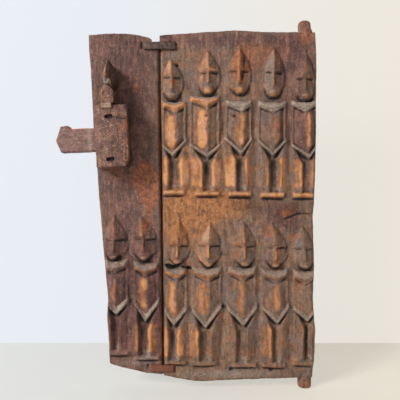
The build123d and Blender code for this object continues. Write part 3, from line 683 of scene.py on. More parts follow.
# ---- Board outlines: marks of each edge, in millimetres ----
RIGHT_EDGES = {
    "joint": ((14, -249.0), (157, -249.0), (227, -250.0), (262, -251.0), (341, -251.2), (507, -254.6),
              (595, -255.2), (606, -257.0), (632, -257.0)),
    "outer": ((14, 11.5), (37, 12.2), (52, 14.7), (82, 15.8), (105, 16.6), (121, 14.7), (161, 12.6),
              (217, 14.7), (261, 13.5), (305, 12.4), (327, 14.7), (366, 16.0), (406, 17.0), (446, 17.9),
              (507, 18.0), (570, 18.9), (600, 18.2), (628, 16.4)),
    "foot": ((-257, 26.0), (-249, 24.6), (-226, 19.6), (-195, 14.4), (-176, 14.2), (-150, 15.4),
             (-109, 17.5), (-42, 19.6), (-13, 20.4), (18, 20.4)),
    "top": ((-257, 621.6), (-233, 623.6), (-213, 624.6), (-185, 627.2), (-152, 628.6), (-124, 630.4),
            (-102, 629.6), (-72, 627.6), (18, 627.6)),
    "seam": ((20, -250.9), (628, -255.9)),
}
BOLT_WAY = ((-386, 406), (-255, 411), (-255, 466), (-386, 461))
LEFT_EDGES = {
    "joint": ((20, -252.2), (107, -252.4), (157, -252.6), (245, -254.2), (332, -256.0), (420, -257.6),
              (507, -258.6), (630, -258.9)),
    "outer": ((20, -344.0), (49, -344.6), (82, -345.8), (131, -349.0), (158, -347.2), (182, -349.2),
              (238, -354.6), (305, -360.2), (359, -364.7), (392, -366.5), (418, -369.3), (462, -372.9),
              (494, -374.3), (522, -375.9), (566, -378.2), (595, -380.6), (626, -381.2)),
    "foot": ((-346, 50.0), (-342, 44.3), (-318, 37.5), (-280, 28.8), (-252, 26.0)),
    "top": ((-382, 622.2), (-352, 624.6), (-317, 625.1), (-291, 621.6), (-275, 617.4), (-270.6, 614.6),
            (-269.6, 608.6), (-258, 608.0)),
    "seam": ((20, -251.1), (628, -256.1)),
}
# ---- Stains and painted shade of the boards: (across, up), half sizes and strength, under the name of their mask ----
RIGHT_ZONES = {
    "russet": (
        (-117, 568, 15, 22, 0.75), (-111, 258, 14, 26, 0.5), (-50, 238, 7, 14, 0.6),
        (-192, 580, 7, 26, 0.7), (-118, 548, 16, 24, 0.5), (-246, 270, 6, 30, 0.8), (-98, 312, 26, 10, 0.5),
        (-28, 312, 26, 22, 0.85), (-140, 322, 22, 20, 0.6), (-68, 280, 12, 22, 0.6), (2, 618, 13, 16, 0.6),
        (-200, 345, 20, 12, 0.5), (-238, 345, 14, 16, 0.7), (-150, 335, 26, 10, 0.35),
        (-60, 590, 60, 34, 0.6), (-105, 575, 26, 60, 0.35), (0, 640, 14, 26, 0.7), (-235, 330, 30, 26, 0.4),
    ),
    "worn": (
        (-219.5, 217, 1.8, 3.5, 0.9), (-238, 570, 4, 9, 0.8), (-165, 559, 9, 3, 0.8),
        (-183, 545, 3, 8, 0.5), (-173, 521, 9, 3, 0.6), (-103, 553, 6, 5, 0.5), (-116, 522, 7, 4, 0.6),
        (0, 562, 4, 8, 0.5), (3, 545, 3, 6, 0.5), (-50, 242, 4, 10, 0.6), (-225, 385, 26, 36, 0.2),
    ),
    # painted shade below the upper foot bars, beside some heads and in the gash, and broad darker patches over
    # the upper part
    "gloom": (
        (-240, 213, 12, 5, 0.4), (-113, 548, 5, 6, 0.4), (-20, 380, 50, 60, 0.12),
        (-120, 600, 60, 20, 0.08), (-20, 470, 40, 110, 0.08), (-92, 324, 30, 16, 0.3),
        (-28, 318, 36, 18, 0.28), (-133, 318, 20, 24, 0.34), (-98, 318, 22, 14, 0.26),
        (-28, 316, 24, 22, 0.24), (-120, 450, 150, 110, 0.07), (-190, 338, 70, 5, 0.2),
        (-250, 619, 13, 4, 0.4), (-110, 606, 170, 34, 0.14), (-95, 335, 16, 12, 0.15),
        (-146, 238, 7, 6, 0.45), (-28, 284, 14, 16, 0.35),
    ),
    "maroon": (
        (-40, 440, 50, 60, 0.3), (-70, 322, 50, 20, 0.45), (-246, 617, 16, 8, 1.0),
        (-60, 520, 60, 70, 0.35), (-20, 590, 60, 50, 0.6), (-150, 615, 120, 18, 0.6),
        (-130, 30, 150, 24, 0.1), (-45, 300, 26, 14, 0.6), (0, 450, 30, 90, 0.5), (-25, 290, 34, 26, 0.5),
        (-190, 560, 60, 60, 0.35), (-120, 30, 160, 14, 0.15),
    ),
    "ochre": (
        (-150, 330, 60, 22, 0.5), (-225, 380, 30, 50, 0.35), (-185, 318, 62, 40, 0.95),
        (-232, 285, 24, 60, 0.6), (-190, 262, 36, 40, 0.45), (-110, 322, 50, 20, 0.4),
    ),
    "dust": (
        (-11, 509, 3, 2, 0.9), (-140, 28, 150, 12, 0.75),
    ),
}
LEFT_ZONES = {
    "maroon": (
        (-320, 480, 90, 260, 0.8), (-300, 140, 80, 120, 1.0), (-330, 600, 60, 30, 0.4),
    ),
    "russet": (
        (-298, 535, 8, 24, 0.85), (-275, 540, 10, 30, 0.4), (-270, 330, 16, 40, 0.8),
        (-286, 350, 20, 30, 0.3), (-280, 378, 26, 36, 0.85), (-338, 284, 9, 15, 0.55),
        (-284, 284, 12, 17, 0.7), (-270, 248, 8, 14, 0.55), (-336, 178, 9, 22, 0.45),
        (-286, 178, 12, 22, 0.5), (-320, 100, 8, 22, 0.5), (-286, 170, 6, 24, 0.5), (-336, 170, 5, 16, 0.5),
        (-268, 80, 6, 16, 0.6), (-345, 392, 24, 26, 0.35), (-330, 372, 36, 30, 0.4),
    ),
    "ochre": (
        (-262, 345, 8, 40, 0.4),
    ),
    "dust": (
        (-276, 486, 14, 28, 0.5), (-300, 48, 60, 12, 0.6),
    ),
    # a broad darker patch over the left pair
    "gloom": (
        (-300, 150, 70, 90, 0.2),
    ),
}


def carve_figures(face, figures):
    """All bodies first, then the heads that overlap them."""
    for carve in (carve_body, carve_head):
        for figure in figures:
            carve(face, figure)


def stain(face, zones):
    """Lays all stains and painted shade patches of a board."""
    for mask, blots in zones.items():
        for across, up, wide, tall, amount in blots:
            face.patch(mask, (across, up), (wide, tall), amount)


def carve_right_board(face):
    """Two rows of figures, with the gash, cracks, nail holes and staple slots among them."""
    carve_figures(face, UPPER_ROW + LOWER_ROW)
    face.grooves((
        (-248, 219, -228, 214, 8.5, 9), (-235, 213, -222, 217, 6.5, 8), (-217, 215.5, -201, 213, 7.5, 8),
        (-40, 298, -11, 310, 4, 4), (-22, 307, 10, 309, 3, 3), (-108.5, 586, -110, 558, 5.6, 2.6),
        (-110, 555, -112, 538, 5.0, 2.4), (-171, 472, -167, 444, 2.6, 1.4), (-167, 446, -174, 420, 2.2, 1.2),
        (-110, 472, -107, 448, 2.2, 1.0), (-52, 470, -49, 440, 2.2, 1.0), (-64, 462, -62, 440, 2.0, 0.8),
    ))
    # nail holes, darkened inside with painted shade
    for across, up, radius in ((-131.6, 36.4, 3.0), (-62, 35.4, 3.4), (-226.5, 568, 2.4),
                               (-175.4, 478.8, 2.0), (-125.7, 478.8, 2.2), (-146.1, 146.5, 2.2)):
        face.dent((across, up), (radius, radius), 4.0)
        face.patch("gloom", (across, up), (radius, radius), 1.5)
    # a low raised block by the top of the joint, darkened
    face.form([(-262, 606), (-236, 606), (-236.5, 630), (-262, 630)], 2.6 + 0 * face.x, 1.4, gloom=0.3)
    face.slots((-232, -229.6, 593, 612), (-234, -230, 31.5, 41))
    face.grooves((
        (-207, 122, -205, 60), (-148, 118, -149, 58), (-150, 180, -149, 150), (-84, 128, -86, 60),
        (-32, 120, -31, 62), (-90, 200, -88, 160), (-200, 480, -201, 440), (-146, 486, -146, 442),
        (-90, 480, -91, 440), (-30, 470, -31, 430), (-198, 410, -199, 355), (-142, 400, -143, 352),
    ), 3.4, 0.9, 0.5)
    face.scratches((-245, 30), (10, 620), 170, (3, 11), 5)
    stain(face, RIGHT_ZONES)


def carve_left_board(face):
    """Two figures at the foot of a plain, scratched board."""
    carve_figures(face, LEFT_PAIR)
    face.slots((-290, -286, 597, 609), (-279, -275, 38.5, 45))
    face.scratches((-370, 45), (-260, 615), 70, (3, 11), 8)
    stain(face, LEFT_ZONES)


# ---- Board meshes ----
COARSE = 3  # the back has every third vertex of the front, each way


def sides_at(edges, z):
    """The board's left and right edge at some heights."""
    return np.sort([edge_at(edges["joint"], z), edge_at(edges["outer"], z)], axis=0)


def ends_at(edges, x):
    """The board's foot and top at some places across."""
    return edge_at(edges["foot"], x), edge_at(edges["top"], x)


def board_grid(edges, step):
    """Grid points that fill a board's outline."""
    (foot, top), (low, high) = ends_at(edges, -200), sides_at(edges, 300)
    counts = (int(length / step) // COARSE * COARSE for length in (top - foot, high - low))
    up, across = (np.linspace(0, 1, count + 1) for count in counts)
    v, u = np.meshgrid(up, across, indexing="ij")
    z = 20 + v * 605
    for _ in range(6):
        low, high = sides_at(edges, z)
        x = low + u * (high - low)
        foot, top = ends_at(edges, x)
        z = foot + v * (top - foot)
    return x, z


def board_mesh(name, edges, carve, step, seed):
    """A closed board: carved front, worn edges, plain adzed back."""
    x, z = board_grid(edges, step)
    flat = np.stack([x, 0 * x, z], -1).reshape(-1, 3)

    def uneven(size, further, layers, shift=0):
        return layered_noise(flat + shift, size, seed + further, layers).reshape(x.shape)

    face = Carving(x + 0.75 * uneven((13, 13, 16), 70, 3, 200), z + 0.75 * uneven((13, 13, 16), 80, 3, 200))
    carve(face)
    face.x, face.z = x, z
    face.masks["worn"] *= np.clip(0.95 + 0.4 * uneven((8, 8, 20), 90, 3, 90), 0.3, 1.25)
    face.height = softened(face.height, 0.6)
    for mask in MASKS:
        face.masks[mask] = softened(face.masks[mask], 0.7)
    chips = uneven((7, 7, 11), 10, 3)
    face.height += 0.8 * uneven((46, 46, 90), 0, 3) + 0.42 * chips + 0.2 * uneven((2.6, 3, 34), 20, 2)
    # painted highlight and wear on the crests, painted shade in the hollows
    crest = face.height - softened(face.height, 5.0)
    hollow = softened(face.height, 3.0) - face.height
    face.masks["worn"] = unit(face.masks["worn"] + 0.08 * np.clip(crest - 1.2, 0, 4))
    face.masks["gloom"] = unit(face.masks["gloom"] + 0.24 * np.clip(hollow - 0.6, 0, 4))
    # edges rounded by handling
    (low, high), (foot, top) = sides_at(edges, z), ends_at(edges, x)
    margin = np.minimum.reduce([x - low, high - x, z - foot, top - z])
    radius = 3.0 + 1.2 * chips
    short = np.clip(radius - margin, 0, None)
    drop = radius - np.sqrt(np.clip(radius**2 - short**2, 0, None))
    raised, sunk = np.maximum(face.height, 0), np.minimum(face.height, 0)
    face.height = np.minimum(face.height, raised * unit(margin / 4) + sunk) - drop
    # the pegs' roots, thinner than the board, and the smooth way of the bolt
    face.height -= 3.6 * np.exp(-((x / 12.5) ** 4)) * unit((z - 606) / 22) ** 2
    face.height -= 3.0 * np.exp(-((x / 13) ** 4)) * unit((40 - z) / 20) ** 2
    smooth = unit(inside(x, z, BOLT_WAY) / 2)
    face.height = np.where(smooth > 0, np.minimum(face.height, 2 - 2.25 * smooth), face.height)
    return closed_board(name, face, edges, seed)


def closed_board(name, face, edges, seed):
    """Front grid, rim rings and a coarser back, joined into one closed mesh."""
    x, z = face.x, face.z
    points = [np.stack([x, FRONT / MM - face.height, z], -1).reshape(-1, 3)]
    index = np.arange(x.size).reshape(x.shape)
    faces = grid_faces(index)
    rim = border(index)
    rim_points = points[0][rim]
    outward = rim_points[:, [0, 2]] - rim_points.mean(0)[[0, 2]]
    outward /= np.linalg.norm(outward, axis=1)[:, None]
    rings = [rim]
    for number, depth in enumerate((0.12, 0.3, 0.5, 0.7, 0.88)):
        ring = rim_points.copy()
        ring[:, 1] += (BACK / MM - ring[:, 1]) * depth
        wobble = layered_noise(ring, (9, 9, 14), seed + 40, 2)
        ring[:, [0, 2]] += outward * (0.35 * wobble - 0.1)[:, None]
        ring[:, 0] += seam_shift(rim_points, edges) * min(depth / 0.3, 1)
        points.append(ring)
        rings.append(x.size + len(rim) * number + np.arange(len(rim)))
    back_x, back_z = x[::COARSE, ::COARSE], z[::COARSE, ::COARSE]
    back_flat = np.stack([back_x, 0 * back_x + 50, back_z], -1).reshape(-1, 3)
    hewn = 0.7 * layered_noise(back_flat, (24, 24, 60), seed + 60, 3)
    back_index = np.arange(back_x.size).reshape(back_x.shape)
    back_y = BACK / MM - 0.5 + np.minimum(hewn, 0.4)
    back_y[border(back_index)] -= 1.6
    points.append(np.stack([back_flat[:, 0] + seam_shift(back_flat, edges), back_y, back_flat[:, 2]], -1))
    back_index += rings[-1][-1] + 1
    faces += grid_faces(back_index[:, ::-1])
    for first, second in zip(rings, rings[1:]):
        faces += np.stack([np.roll(first, -1), first, second, np.roll(second, -1)], -1).tolist()
    # each step of the back takes three steps of the last ring
    back_rim = border(back_index)
    thirds = np.stack([np.roll(rings[-1], -n)[::COARSE] for n in range(COARSE + 1)], -1)
    for (a, b, c, d), corner, following in zip(thirds, back_rim, np.roll(back_rim, -1)):
        faces += [[b, a, corner], [c, b, corner], [d, c, corner, following]]
    vertices = np.concatenate(points) * MM
    piece = mesh_object(name, vertices, faces)
    for mask in MASKS:
        values = np.zeros(len(vertices))
        values[: x.size] = face.masks[mask].reshape(-1)
        # the sides keep most of the painted shade and stains of the face's rim, but none of its dust, wear or
        # painted highlight
        for ring in rings[1:]:
            values[ring] = values[rim] * (0.0 if mask in ("dust", "worn") else 0.8)
        paint(piece, mask, values)
    return piece


def seam_shift(points, edges):
    """How far the points beside the joint move across, so that the boards meet behind their worn edges."""
    edge = edge_at(edges["joint"], points[:, 2])
    near = unit(1 - np.abs(points[:, 0] - edge) / 8)
    return near * (edge_at(edges["seam"], points[:, 2]) - edge)


def grid_faces(index):
    """Quads over a grid of vertex numbers, facing -Y when x and z grow."""
    a, b = index[:-1, :-1], index[:-1, 1:]
    c, d = index[1:, 1:], index[1:, :-1]
    return np.stack([a, b, c, d], -1).reshape(-1, 4).tolist()


def border(index):
    """The vertex numbers around a grid, in order."""
    return np.concatenate([index[0, :-1], index[:-1, -1], index[-1, :0:-1], index[:0:-1, 0]])


def placed(name, data):
    """A new object at the origin of the scene."""
    piece = bpy.data.objects.new(name, data)
    bpy.context.scene.collection.objects.link(piece)
    return piece


def mesh_object(name, vertices, faces):
    """A new smooth piece from its vertices, in metres, and its faces."""
    mesh = bpy.data.meshes.new(name)
    mesh.from_pydata([tuple(v) for v in vertices], [], faces)
    mesh.validate()
    mesh.shade_smooth()
    return placed(name, mesh)


def paint(piece, name, values):
    """Stores a mask on the mesh for its material to read."""
    layer = piece.data.attributes.new(name, "FLOAT", "POINT")
    layer.data.foreach_set("value", np.asarray(values, np.float32))


def add_peg(piece, levels, seed):
    """Joins a slightly uneven turned pivot peg to a board: (radius, height, shift across) at its levels."""
    segments = 64
    angle = np.linspace(0, 2 * math.pi, segments, endpoint=False)
    rings = []
    for radius, height, shift in levels:
        ring = np.stack([radius * np.cos(angle), radius * np.sin(angle), 0 * angle + height], -1)
        ring[:, :2] *= 1 + 0.025 * np.minimum(layered_noise(ring + 60, (8, 8, 20), seed, 2), 0.3)[:, None]
        rings.append(ring + (shift, 0, 0))
    vertices = np.concatenate(rings)
    index = np.arange(len(vertices)).reshape(-1, segments)
    after = np.roll(index, -1, 1)
    faces = np.stack([index[:-1], after[:-1], after[1:], index[1:]], -1).reshape(-1, 4).tolist()
    peg = mesh_object("peg", vertices * MM, faces + [index[0, ::-1].tolist(), index[-1].tolist()])
    patchy = unit(0.75 + 0.5 * layered_noise(vertices + 30, (6, 6, 16), seed + 3, 2))
    for mask in MASKS:
        paint(peg, mask, {"russet": 0.75, "ochre": 0.3, "worn": 0.15}.get(mask, 0.0) * patchy)
    joined(piece, peg)


def joined(piece, other):
    """Joins another object into a piece."""
    chosen = {"selected_editable_objects": [piece, other], "selected_objects": [piece, other]}
    with bpy.context.temp_override(active_object=piece, **chosen):
        bpy.ops.object.join()


# ---- Lock, in millimetres across, up and out ----
BUST_FOOT = 54  # the bust stands above this
CASE_SIDE = -29  # the bolt comes out of the case here
BOLT_HEAD = -78  # and its pointed head begins here


def worn_copy(node, name, voxel):
    """A finer, smoothed copy of a CAD node, on the lock's own axes, ready to be carved."""
    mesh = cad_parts[node].data.copy()
    mesh.transform(LOCK_FRAME.inverted())
    merged = bmesh.new()
    merged.from_mesh(mesh)
    bmesh.ops.remove_doubles(merged, verts=merged.verts, dist=0.00001)
    merged.to_mesh(mesh)
    merged.free()
    mesh.materials.clear()
    piece = placed(name, mesh)
    remesh = piece.modifiers.new("fine", "REMESH")
    remesh.mode = "VOXEL"
    remesh.voxel_size = voxel
    smooth = piece.modifiers.new("worn", "SMOOTH")
    smooth.factor = 0.5
    smooth.iterations = 2
    made_plain(piece)
    return piece


def made_plain(piece):
    """Turns a piece with modifiers into a plain mesh."""
    graph = bpy.context.evaluated_depsgraph_get()
    mesh = bpy.data.meshes.new_from_object(piece.evaluated_get(graph))
    piece.modifiers.clear()
    piece.data = mesh
    mesh.shade_smooth()


def vectors(items, name):
    """One vector of every vertex or normal, as rows."""
    values = np.empty(len(items) * 3)
    items.foreach_get(name, values)
    return values.reshape(-1, 3)


def carve_copy(piece, carve, skin, seed):
    """Roughens a lock piece, carves its face and moves it to its place."""
    mesh = piece.data
    points, normals = vectors(mesh.vertices, "co") / MM, vectors(mesh.vertex_normals, "vector")
    rough = 0.38 * layered_noise(points + 99, (16, 22, 16), seed, 2)
    rough += 0.22 * layered_noise(points + 99, (4, 7, 4), seed + 9, 3)
    points += normals * (np.minimum(rough, 0.25) * skin(points))[:, None]
    points[:, 0] += bust_stretch(points)
    face = Carving(points[:, 0], points[:, 1])
    carve(face, points[:, 2], normals)
    points[:, 2] += face.height * unit(normals[:, 2] * 2.5)
    mesh.vertices.foreach_set("co", (points * MM).ravel())
    mesh.transform(LOCK_FRAME)
    for mask in MASKS:
        paint(piece, mask, face.masks[mask])


def case_skin(points):
    """1 on the case's outside and 0 in its channel and pockets and on its back."""
    across, up, out = points.T
    opening = (np.abs(up) < 21.5) | (np.abs(up) < 45) & (np.abs(across) < 24)
    return np.where(opening & (out < 20.5) | (out < 1.5), 0.0, 1.0)


def bolt_skin(points):
    """1 on the part of the bolt that stands outside the case, 0 where it slides or is holed."""
    return unit((CASE_SIDE - points[:, 0]) / 4)


def carve_case(face, out, normals):
    """Scratches, the split from the upper nail, worn edges, painted highlight on the left edge, painted shade on
    the right side and around the nails, and the bust's features.
    """
    across, up = face.x, face.z
    front = (normals[:, 2] > 0.5) & (out > 36) & (up < 50)
    pale = ((2, -28, 14, -17), (-11, 13, 4, -7), (-16, -2, 2, -6), (-4, -2, 10, 12))
    face.grooves((
        (-1, 33, 10, 31, 1.6, 0.8, 0.7), (10, 31, 27, 28, 2.0, 1.2, 0.9), (0, 17, 14, 25, 1.1, 0.5, 0.3),
        (14, 25, 27, 30, 1.6, 0.8, 0.6), (*pale[0], 1.2, 0.5, 0.0), (18, -6, 26, -10, 1.4, 0.5, 0.2),
        (*pale[1], 1.1, 0.4, 0.0), (*pale[2], 1.1, 0.4, 0.0), (*pale[3], 1.0, 0.4, 0.0),
        (-14, -34, 8, -31, 1.2, 0.5, 0.2), (-4, -14, 5, 3, 0.9, 0.35, 0.1), (6, -12, -9, -24, 0.9, 0.35, 0.1),
    ))
    face.grooves(pale, 2.4, 0.0, 0.7, "worn")
    face.scratches((-24, -46), (24, 48), 110, (4, 15), 3)
    face.dent((27, 29), (3.2, 2.2), 2.2)
    # painted shade around the nail heads
    for level in (33.5, -37.2):
        face.patch("gloom", (-2.6, level), (5.6, 2.6), 2.0)
        face.patch("gloom", (-1.6, level - 5), (12, 5), 0.35)
    face.height = np.where(front, face.height, 0)
    below = up < 53
    rubbed = np.interp(up, (-46, -38, -24, -8, 4, 14, 26, 30), (0.45, 0.88, 0.55, 0.9, 0.5, 0.9, 0.75, 0.25))
    rubbed = rubbed * unit((across - 17) / 5) * np.where(out > 43, 1.0, 0.6)
    face.lay(below & (out > 20), russet=rubbed)
    # painted highlight on the case's left edge
    face.deepen("worn", 0.4 * below * unit((-22 - across) / 4))
    face.masks["dust"] = 0.25 * (up < -20)
    # painted shade on the back of the case's right side
    face.lay(below & (out < 30) & (across > 20), gloom=0.55)
    carve_bust(face, out)


def bust_stretch(points):
    """How far the bust's broad right half stands out beyond the plain block it was cut from."""
    across, up, out = points.T
    spans = ((54, 56, 80, 85), (86, 90, 110, 122), (84, 86, 95, 99))
    chest, head, jaw = (np.interp(up, span, (0, 1, 1, 0)) for span in spans)
    broad = 5.0 * chest * unit((across + 12) / 15) + 4.0 * head * unit((across + 3) / 10)
    return broad + 0.65 * jaw * np.clip(-5.5 - across, 0, 8)


def carve_bust(face, out):
    """Brow, eyes, nose, mouth and chin on the bust's narrow wedge of a face, with wear and painted highlight on
    its crest and painted shade on its right side.
    """
    across, up = face.x, face.z
    bust = up > BUST_FOOT
    ridge = -5.2
    away = np.abs(across - ridge)
    lift = sum(
        rise * bell(away - place, wide) * bell(up - level, tall)
        for rise, place, wide, level, tall in (
            (1.8, 0, 3.0, 96, 3.4), (-2.4, 4.2, 2.6, 100.5, 2.6), (-1.4, 0, 5.0, 92.6, 1.0),
            (1.3, 0, 4.5, 90.0, 2.4), (-1.1, 0, 4.0, 89.8, 0.6),
        )
    )
    jaw = (up > 86) & (up < 94) & (across < 3.2) & (out > 30)
    chin = np.clip(50.5 - out, 0, 9) - 0.9 * bell(up - 90, 0.7)
    face.height = np.where(jaw, chin, np.where(bust, lift, face.height))
    crest = (up > 102) & (away + 0.12 * (up - 102) < 2.6) | (up > 86) & (up < 102) & (away < 2.0)
    # wear and painted highlight along the crest
    face.lay(bust & crest & (out > 30), worn=0.75)
    face.lay(jaw, dust=0.9, worn=0.3)
    # painted shade right of the ridge
    face.lay(bust, gloom=0.5 * unit((across - ridge - 2.5) / 3) * (up > 84) * ~jaw)
    face.grooves(((0.6, 106.7, 9.3, 105.3), (9.7, 114.5, 16, 99), (1, 98, 8, 96)), 1.8, 0.0, 0.7, "dust")
    # the chest: wear and painted highlight on its front, stronger on the left, and painted shade with stain on
    # its right side
    chest = bust & (up < 84)
    face.lay(chest & (out > 46), worn=np.where(across < 1, 0.42, 0.3), dust=0.16)
    face.lay((up > 46) & (up < 54.5) & (away < 8.6) & (out > 45.2), worn=0.7, dust=0.6)
    face.lay(chest & (across > 2) & (out < 46), gloom=0.4, russet=0.4)


def carve_bolt(face, out, normals):
    """Rubbed top edge, a paler band beside the case and small nicks."""
    across, up = face.x, face.z
    for place, depth in (((-60, -19), 0.8), ((-84, 8), 0.6), ((-71, 18), 0.7), ((-92, -12), 0.6)):
        face.dent(place, (3, 2.4), depth)
    face.height = np.where(across < CASE_SIDE, face.height, 0)
    head = across < BOLT_HEAD
    face.masks["russet"] = unit((up - np.where(head, 25.5, 19.0) + 2.4) / 1.6) * np.where(head, 0.5, 0.9)
    face.masks["worn"] = 0.25 * unit((-84 - across) / 8)
    face.masks["dust"] = 0.75 * bell(across + 42, 6) + 0.4 * bell(across + 53, 1.4)
    face.scratches((-98, -18), (-30, 18), 36, (4, 12), 4)


# ---- Forged iron ----
SIZES = {"Width": 0.004, "Height": 0.004, "Bend": 0.003, "Dent": 0.0004, "Seed": 0.0}


def forging_tree(upright):
    """Geometry nodes that sweep a square bar along a path and hammer it a little."""
    tree = bpy.data.node_groups.new("forged_bar_upright" if upright else "forged_bar", "GeometryNodeTree")
    tree.interface.new_socket("Path", in_out="INPUT", socket_type="NodeSocketGeometry")
    for name, default in SIZES.items():
        tree.interface.new_socket(name, in_out="INPUT", socket_type="NodeSocketFloat").default_value = default
    tree.interface.new_socket("Finish", in_out="INPUT", socket_type="NodeSocketMaterial")
    tree.interface.new_socket("Bar", in_out="OUTPUT", socket_type="NodeSocketGeometry")
    bar = Nodes(tree)
    path, width, height, bend, dent, seed, finish = (
        bar.node("NodeGroupInput", {}, {}, name) for name in ("Path", *SIZES, "Finish")
    )
    poly = {"mode": "POLY"}
    girth = bar.node("GeometryNodeInputNamedAttribute", {"data_type": "FLOAT"}, {"Name": "girth"})
    line = bar.node("GeometryNodeMeshToCurve", {}, {0: path})
    line = bar.node("GeometryNodeFilletCurve", poly, {"Curve": line, "Radius": bend, "Count": 6})
    line = bar.node("GeometryNodeResampleCurve", {"mode": "LENGTH"}, {"Curve": line, "Length": 0.0009})
    mode = {"mode": "Z_UP" if upright else "MINIMUM_TWIST"}
    line = bar.node("GeometryNodeSetCurveNormal", mode, {"Curve": line})
    line = bar.node("GeometryNodeSetCurveRadius", {}, {"Curve": line, "Radius": girth})
    outline = bar.node("GeometryNodeCurvePrimitiveQuadrilateral", {}, {"Width": width, "Height": height})
    corner = width * 0.18
    outline = bar.node("GeometryNodeFilletCurve", poly, {"Curve": outline, "Radius": corner, "Count": 3})
    outline = bar.node("GeometryNodeResampleCurve", {"mode": "COUNT"}, {"Curve": outline, "Count": 28})
    swept = {"Curve": line, "Profile Curve": outline, "Fill Caps": True}
    solid = bar.node("GeometryNodeCurveToMesh", {}, swept)
    place = bar.node("GeometryNodeInputPosition", {}, {})
    normal = bar.node("GeometryNodeInputNormal", {}, {})
    blows = {"Vector": place, "W": seed, "Scale": 190.0, "Detail": 2.0}
    push = (bar.node("ShaderNodeTexNoise", {"noise_dimensions": "4D"}, blows) - 0.5) * 2.0 * dent
    offset = bar.node("ShaderNodeVectorMath", {"operation": "SCALE"}, {0: normal, "Scale": push})
    solid = bar.node("GeometryNodeSetPosition", {}, {"Geometry": solid, "Offset": offset})
    solid = bar.node("GeometryNodeRealizeInstances", {}, {0: solid})
    solid = bar.node("GeometryNodeSetMaterial", {}, {"Geometry": solid, "Material": finish})
    bar.node("NodeGroupOutput", {}, {"Bar": solid})
    return tree


def forged(name, tree, path, girths, sizes, iron, rust):
    """One forged piece: its path and girths, and the bar's width, height, bend, dent and seed."""
    mesh = bpy.data.meshes.new(name)
    mesh.from_pydata([tuple(point) for point in path], [(n, n + 1) for n in range(len(path) - 1)], [])
    piece = placed(name, mesh)
    paint(piece, "girth", girths)
    modifier = piece.modifiers.new("forge", "NODES")
    modifier.node_group = tree
    given = {**dict(zip(SIZES, sizes)), "Finish": iron}
    for item in tree.interface.items_tree:
        if item.name in given:
            modifier[item.identifier] = given[item.name]
    made_plain(piece)
    paint(piece, "rust", np.full(len(piece.data.vertices), rust))
    return piece


def on_lock(across, up, out):
    """A place on the lock, given in millimetres."""
    return LOCK_FRAME @ Vector((across * MM, up * MM, out * MM))


def lock_place(place):
    """Where a place of the frame lies on the lock: across, up and out, in millimetres."""
    return (LOCK_FRAME.inverted() @ place) / MM


# ---- Stage ----
ROOM = 4  # metres from the middle to the ends of the floor and the wall


def plain_finish(name, cool, warm, share):
    """A matt backdrop surface; what the camera and reflections see of it is partly its plain colour."""
    plain = Finish(name)
    across = plain.node("ShaderNodeSeparateXYZ", {}, {0: plain.place}, "X")
    shown = plain.blend(cool, warm, across.span(-0.5, 0.2))
    seen = 0.0
    for ray in ("Is Camera Ray", "Is Glossy Ray", "Is Transmission Ray"):
        light = plain.node("ShaderNodeLightPath", {}, {}, ray)
        seen = light.maths("MAXIMUM", seen, light)
    colours = {"Base Color": plain.shaded(shown, 0.82), "Roughness": 0.7}
    lit = plain.node("ShaderNodeBsdfPrincipled", {}, colours)
    glow = plain.node("ShaderNodeEmission", {}, {"Color": shown, "Strength": 1.0})
    mixed = plain.node("ShaderNodeMixShader", {}, {0: seen * share, 1: lit, 2: glow})
    plain.node("ShaderNodeOutputMaterial", {}, {"Surface": mixed})
    return plain.material


def area_light(name, place, target, size, power, colour):
    """A round soft light that looks at its target."""
    data = bpy.data.lights.new(name, "AREA")
    data.energy, data.shape, data.size, data.color = power, "DISK", size, colour
    lamp = placed(name, data)
    lamp.location = place
    lamp.rotation_euler = (Vector(target) - Vector(place)).to_track_quat("-Z", "Y").to_euler()


class DoorStage(bpy.types.PropertyGroup):
    distance: FloatProperty(
        name="Camera distance", description="From the camera to the boards' front", default=0.75, unit="LENGTH"
    )
    frame_width: FloatProperty(
        name="Frame width", description="Width seen in the plane of the boards", default=0.70, unit="LENGTH"
    )
    middle_x: FloatProperty(
        name="Middle across", description="Where the camera looks, across", default=-0.18585, unit="LENGTH"
    )
    middle_z: FloatProperty(
        name="Middle height", description="Where the camera looks, height", default=0.3325, unit="LENGTH"
    )
    wall_distance: FloatProperty(
        name="Wall distance", description="From the boards' front to the wall", default=0.246, unit="LENGTH"
    )
    key_power: FloatProperty(
        name="Key light", description="Power of the light from the upper left", default=108.0, unit="POWER"
    )
    wall_colour: FloatVectorProperty(
        name="Wall colour", description="Plain pale wall", subtype="COLOR", size=4,
        default=tone(233, 237, 244), min=0, max=1,
    )
    floor_colour: FloatVectorProperty(
        name="Floor colour", description="Plain pale floor", subtype="COLOR", size=4,
        default=tone(230, 231, 228), min=0, max=1,
    )


